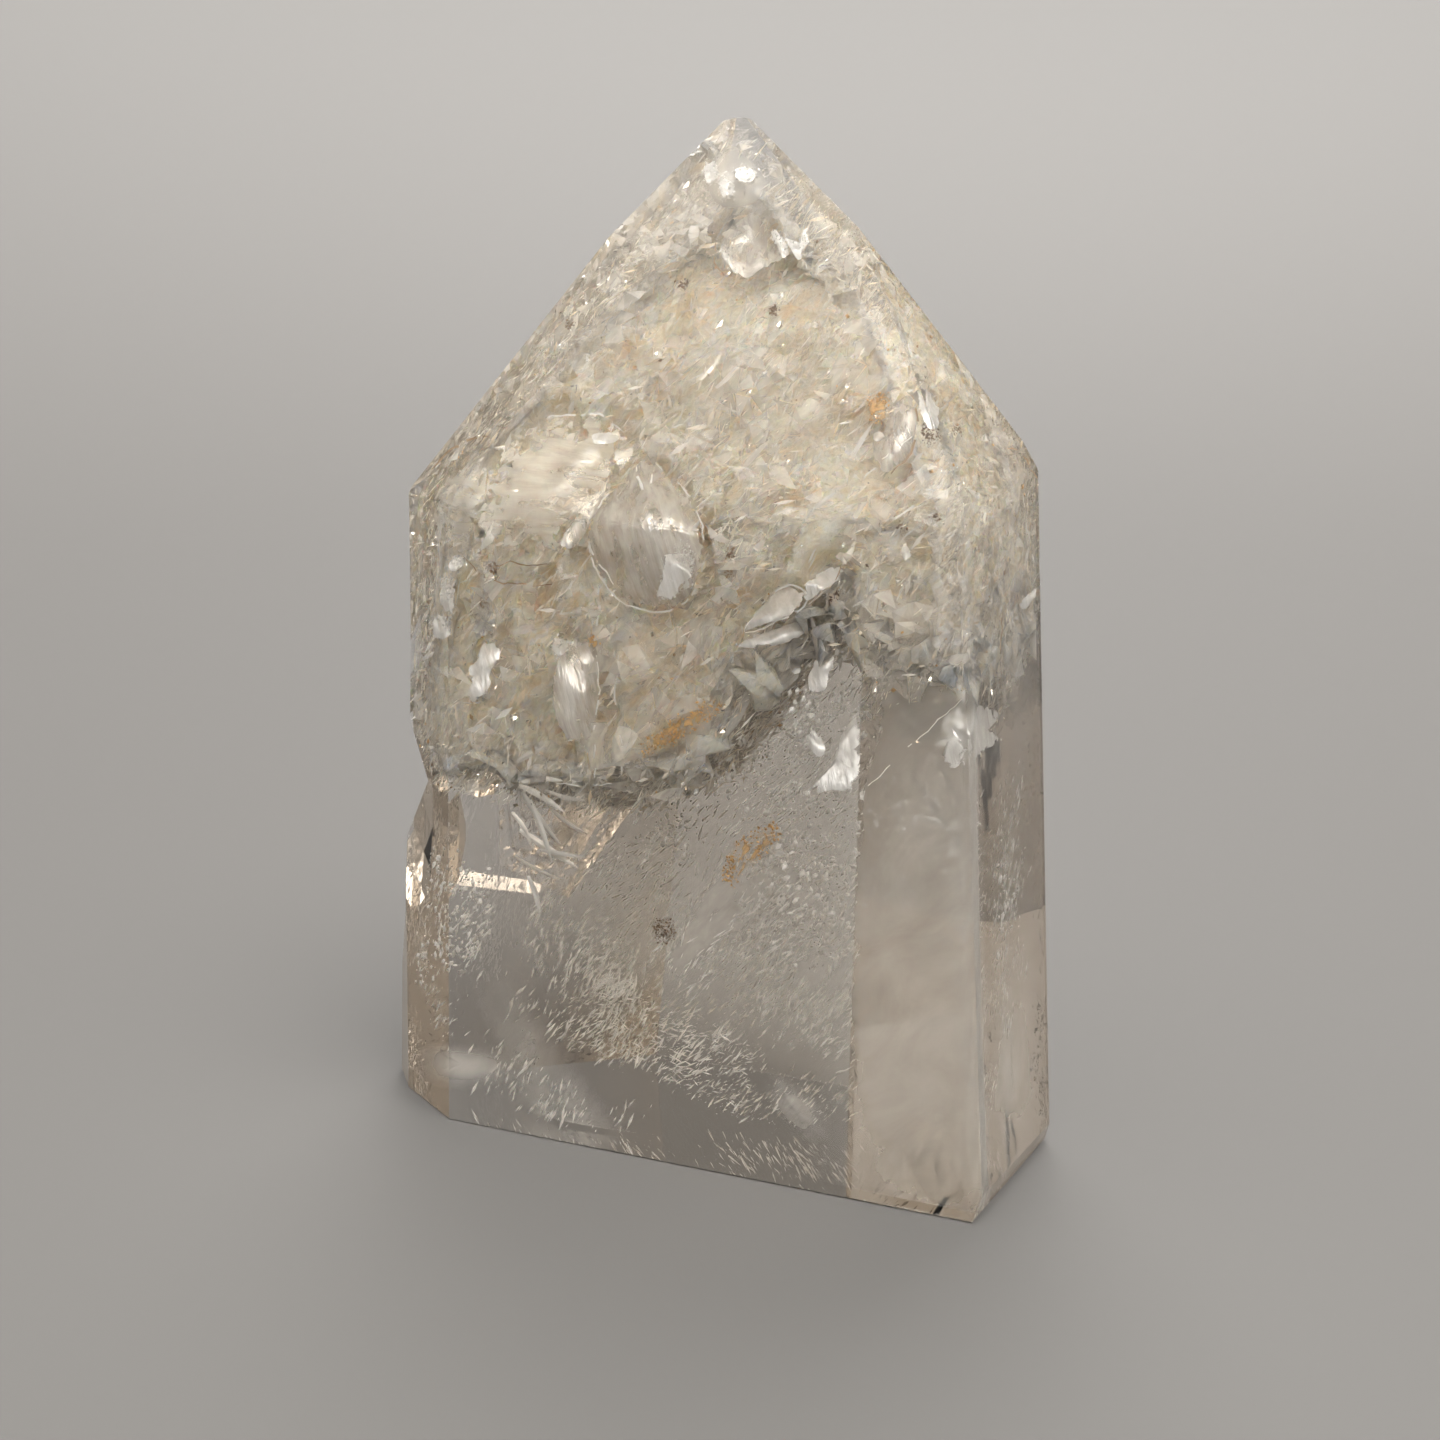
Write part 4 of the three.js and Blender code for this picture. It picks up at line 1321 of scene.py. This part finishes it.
class OBJECT_OT_quartz_veils(bpy.types.Operator):
    """Veils of needles and flecks in the clear lower part"""

    bl_idname = "object.quartz_veils"
    bl_label = "Veils of needles"

    def execute(self, context):
        settings = context.scene.quartz_veil
        pale = chip_material("pale_needles", ((0.99, 0.98, 0.96), (0.97, 0.95, 0.91)), 0.3, metallic=0.15)
        strew("veil_needles", self.sheets(FINE_VEILS, 20), pale, Per_Area=settings.needle_share,
              Patch_Scale=150.0,
              Patch_Level=0.53, Spread=1.6 * MM, Smallest=0.1 * MM, Largest=1.4 * MM,
              Stretch=(1.0, 0.13, 0.10),
              Lean=0.3, Swirl=1.2, Sides=3, Seed=31)
        strew("veil_flecks", self.sheets(FLECKED, 30), pale, Per_Area=settings.fleck_share, Patch_Scale=190.0,
              Patch_Level=0.47, Spread=1.6 * MM, Smallest=0.16 * MM, Largest=0.66 * MM, Few_Large=1.8,
              Stretch=(1.0, 0.8, 0.5), Lean=0.9, Swirl=1.2, Swirl_Scale=160.0, Sides=5, Seed=33)
        strew("veil_strokes", self.sheets(STROKED, 40), pale, Per_Area=settings.stroke_share,
              Patch_Scale=170.0,
              Patch_Level=0.5, Spread=1.6 * MM, Smallest=0.25 * MM, Largest=1.3 * MM, Few_Large=2.0,
              Stretch=(1.0, 0.2, 0.15), Lean=0.25, Swirl=0.7, Growth=Vector((0.45, 0.1, 0.88)), Sides=4,
              Seed=35)
        strew("veil_ripples", self.sheets(RIPPLED, 50), pale, Per_Area=settings.ripple_share,
              Patch_Scale=200.0,
              Patch_Level=0.47, Spread=1.0 * MM, Smallest=0.15 * MM, Largest=0.75 * MM, Few_Large=1.8,
              Stretch=(1.0, 0.24, 0.16), Lean=0.4, Swirl=3.0, Swirl_Scale=260.0,
              Growth=Vector((1.0, 0.1, 0.1)),
              Sides=4, Seed=37)
        sheets = bmesh.new()
        rim = sheets.verts.layers.float.new("rim")
        for k, (across, down, depth, width, height, lean) in enumerate(HAZE_SHEETS):
            haze_sheet(sheets, rim, across, down, depth, width, height, lean, 60 + k)
        haze = haze_material("streaky_haze", (0.98, 0.96, 0.92), 0.45, 110.0, (1.0, 1.0, 0.35), level=0.46)
        keep_inside(sheets, 0.5 * MM)
        new_piece("veil_haze", mesh_from(sheets, "veil_haze"), haze, smooth=True)
        milk = patches_mesh("milky_zones", [(outline, 2.0, 0.3, (0.0, 0.0))
                                            for outline in (MILK_TIP, MILK_LEFT_PAINTED_REFLECTION)])
        sheets = bmesh.new()
        sheets.from_mesh(milk)
        rim = sheets.verts.layers.float["rim"]
        for k, (across, down, depth, width, height, facing, thin) in enumerate(MILK_AND_PAINTED_REFLECTION_SHEETS):
            haze_sheet(sheets, rim, across, down, depth, width, height, 0.0, 80 + k, facing, thin)
        keep_inside(sheets, 0.5 * MM)
        # Even milk, which also serves as a painted reflection of the pale floor.
        even = haze_material("even_milk_and_painted_reflection", (0.97, 0.94, 0.88), 0.68, 22.0, (1.0, 1.0, 0.6), level=0.2,
                             sharpness=1.2, fade_from=0.0, clear=0.7)
        new_piece("milky_zones", mesh_from(sheets, "milky_zones"), even, smooth=True)
        return {"FINISHED"}

    @staticmethod
    def sheets(places, seed):
        """Folded sheets that hang where the table of a kind of veil says."""
        folds = ((12 * MM, 5 * MM), (3 * MM, 1.2 * MM))
        found = []
        for k, (across, down, depth, width, height, turn) in enumerate(places):
            facing = Matrix.Rotation(turn, 3, "Z") @ Vector((0.0, -1.0, 0.1))
            found.append(folded_sheet(f"veil_{seed + k}", seen_at(across, down, depth), facing,
                                      (0.25, 0.1, 1.0), width * MM, height * MM, folds, 1.0 * MM, seed + k))
        return found


class OBJECT_OT_quartz_stage(bpy.types.Operator):
    """Pale floor, soft light and the camera"""

    bl_idname = "object.quartz_stage"
    bl_label = "Stage"

    def execute(self, context):
        scene = context.scene
        settings = scene.quartz_stage
        floor = bpy.data.objects.new("floor", bowl_mesh())
        scene.collection.objects.link(floor)
        floor.data.materials.append(plain_material("pale_floor", settings.floor_colour, 0.6))
        floor.data.polygons.foreach_set("use_smooth", [True] * len(floor.data.polygons))
        scene.world = self.soft_sky(settings)

        camera_data = bpy.data.cameras.new("photo_view")
        camera_data.lens = LENS
        camera_data.sensor_width = SENSOR
        camera_data.clip_start = 0.01
        camera = bpy.data.objects.new("photo_view", camera_data)
        scene.collection.objects.link(camera)
        camera.location = CAMERA_PLACE
        camera.rotation_euler = CAMERA_TURN
        scene.camera = camera
        scene.view_settings.view_transform = "Standard"
        scene.cycles.transparent_max_bounces = 24
        scene.cycles.max_bounces = 13
        scene.cycles.diffuse_bounces = 5
        scene.cycles.transmission_bounces = 10
        scene.cycles.use_denoising = True
        return {"FINISHED"}

    @staticmethod
    def soft_sky(settings):
        """Soft light from all round, with broad lights above, in front to the right, and high behind."""
        world = bpy.data.worlds.new("studio")
        world.use_nodes = True
        tree = world.node_tree
        tree.nodes.clear()
        output = add_node(tree, "ShaderNodeOutputWorld")
        look = add_node(tree, "ShaderNodeTexCoord")
        across = add_node(tree, "ShaderNodeSeparateXYZ", {"Vector": look.outputs["Generated"]})
        total = add_node(tree, "ShaderNodeMapRange", {
            "Value": across.outputs["Y"], "From Min": 0.7, "From Max": -0.7, "To Min": settings.sky_behind,
            "To Max": settings.sky}, interpolation_type="SMOOTHSTEP").outputs[0]
        for place, start, full, power in (((-0.10, -0.20, 0.97), 0.72, 0.95, settings.top_power),
                                          ((0.33, -0.31, 0.89), 0.90, 0.97, settings.side_power),
                                          ((0.46, -0.18, 0.87), 0.90, 0.97, settings.side_power),
                                          ((-0.15, 0.55, 0.82), 0.90, 0.97, settings.back_power)):
            near = add_node(tree, "ShaderNodeVectorMath", {0: look.outputs["Generated"],
                                                           1: Vector(place).normalized()},
                            operation="DOT_PRODUCT")
            glow = add_node(tree, "ShaderNodeMapRange", {"Value": near.outputs["Value"], "From Min": start,
                                                         "From Max": full, "To Max": power},
                            interpolation_type="SMOOTHSTEP")
            total = math_node(tree, "ADD", total, glow.outputs[0])
        sky = add_node(tree, "ShaderNodeBackground", {"Color": (1.0, 0.97, 0.93, 1.0), "Strength": total})
        tree.links.new(sky.outputs[0], output.inputs["Surface"])
        world.cycles.sampling_method = "NONE"
        return world


class VIEW3D_PT_quartz(bpy.types.Panel):
    """Lists the crystal's pieces"""

    bl_label = "Quartz crystal"
    bl_space_type = "VIEW_3D"
    bl_region_type = "UI"
    bl_category = "Quartz"

    def draw(self, context):
        for operator in OPERATORS:
            self.layout.operator(operator.bl_idname)


SETTINGS = {
    "quartz_body": QuartzBodySettings,
    "quartz_cloud": QuartzCloudSettings,
    "quartz_veil": QuartzVeilSettings,
    "quartz_stage": QuartzStageSettings,
}
OPERATORS = (OBJECT_OT_quartz_body, OBJECT_OT_quartz_fractures, OBJECT_OT_quartz_stains,
             OBJECT_OT_quartz_cloud,
             OBJECT_OT_quartz_veils, OBJECT_OT_quartz_stage)
# Pieces that are drawn one by one; the cloud leaves room in front of them.
DRAWN_PIECES = ("broad_slabs", "glassy_fractures", "white_splits")


def register():
    for settings in SETTINGS.values():
        bpy.utils.register_class(settings)
    for name, settings in SETTINGS.items():
        setattr(bpy.types.Scene, name, PointerProperty(type=settings))
    for operator in OPERATORS:
        bpy.utils.register_class(operator)
    bpy.utils.register_class(VIEW3D_PT_quartz)


def unregister():
    bpy.utils.unregister_class(VIEW3D_PT_quartz)
    for operator in reversed(OPERATORS):
        bpy.utils.unregister_class(operator)
    for name in SETTINGS:
        delattr(bpy.types.Scene, name)
    for settings in reversed(SETTINGS.values()):
        bpy.utils.unregister_class(settings)


def main():
    register()
    bpy.ops.object.quartz_body()
    bpy.ops.object.quartz_fractures()
    bpy.ops.object.quartz_stains()
    bpy.ops.object.quartz_cloud()
    bpy.ops.object.quartz_veils()
    bpy.ops.object.quartz_stage()


if __name__ == "__main__":
    main()
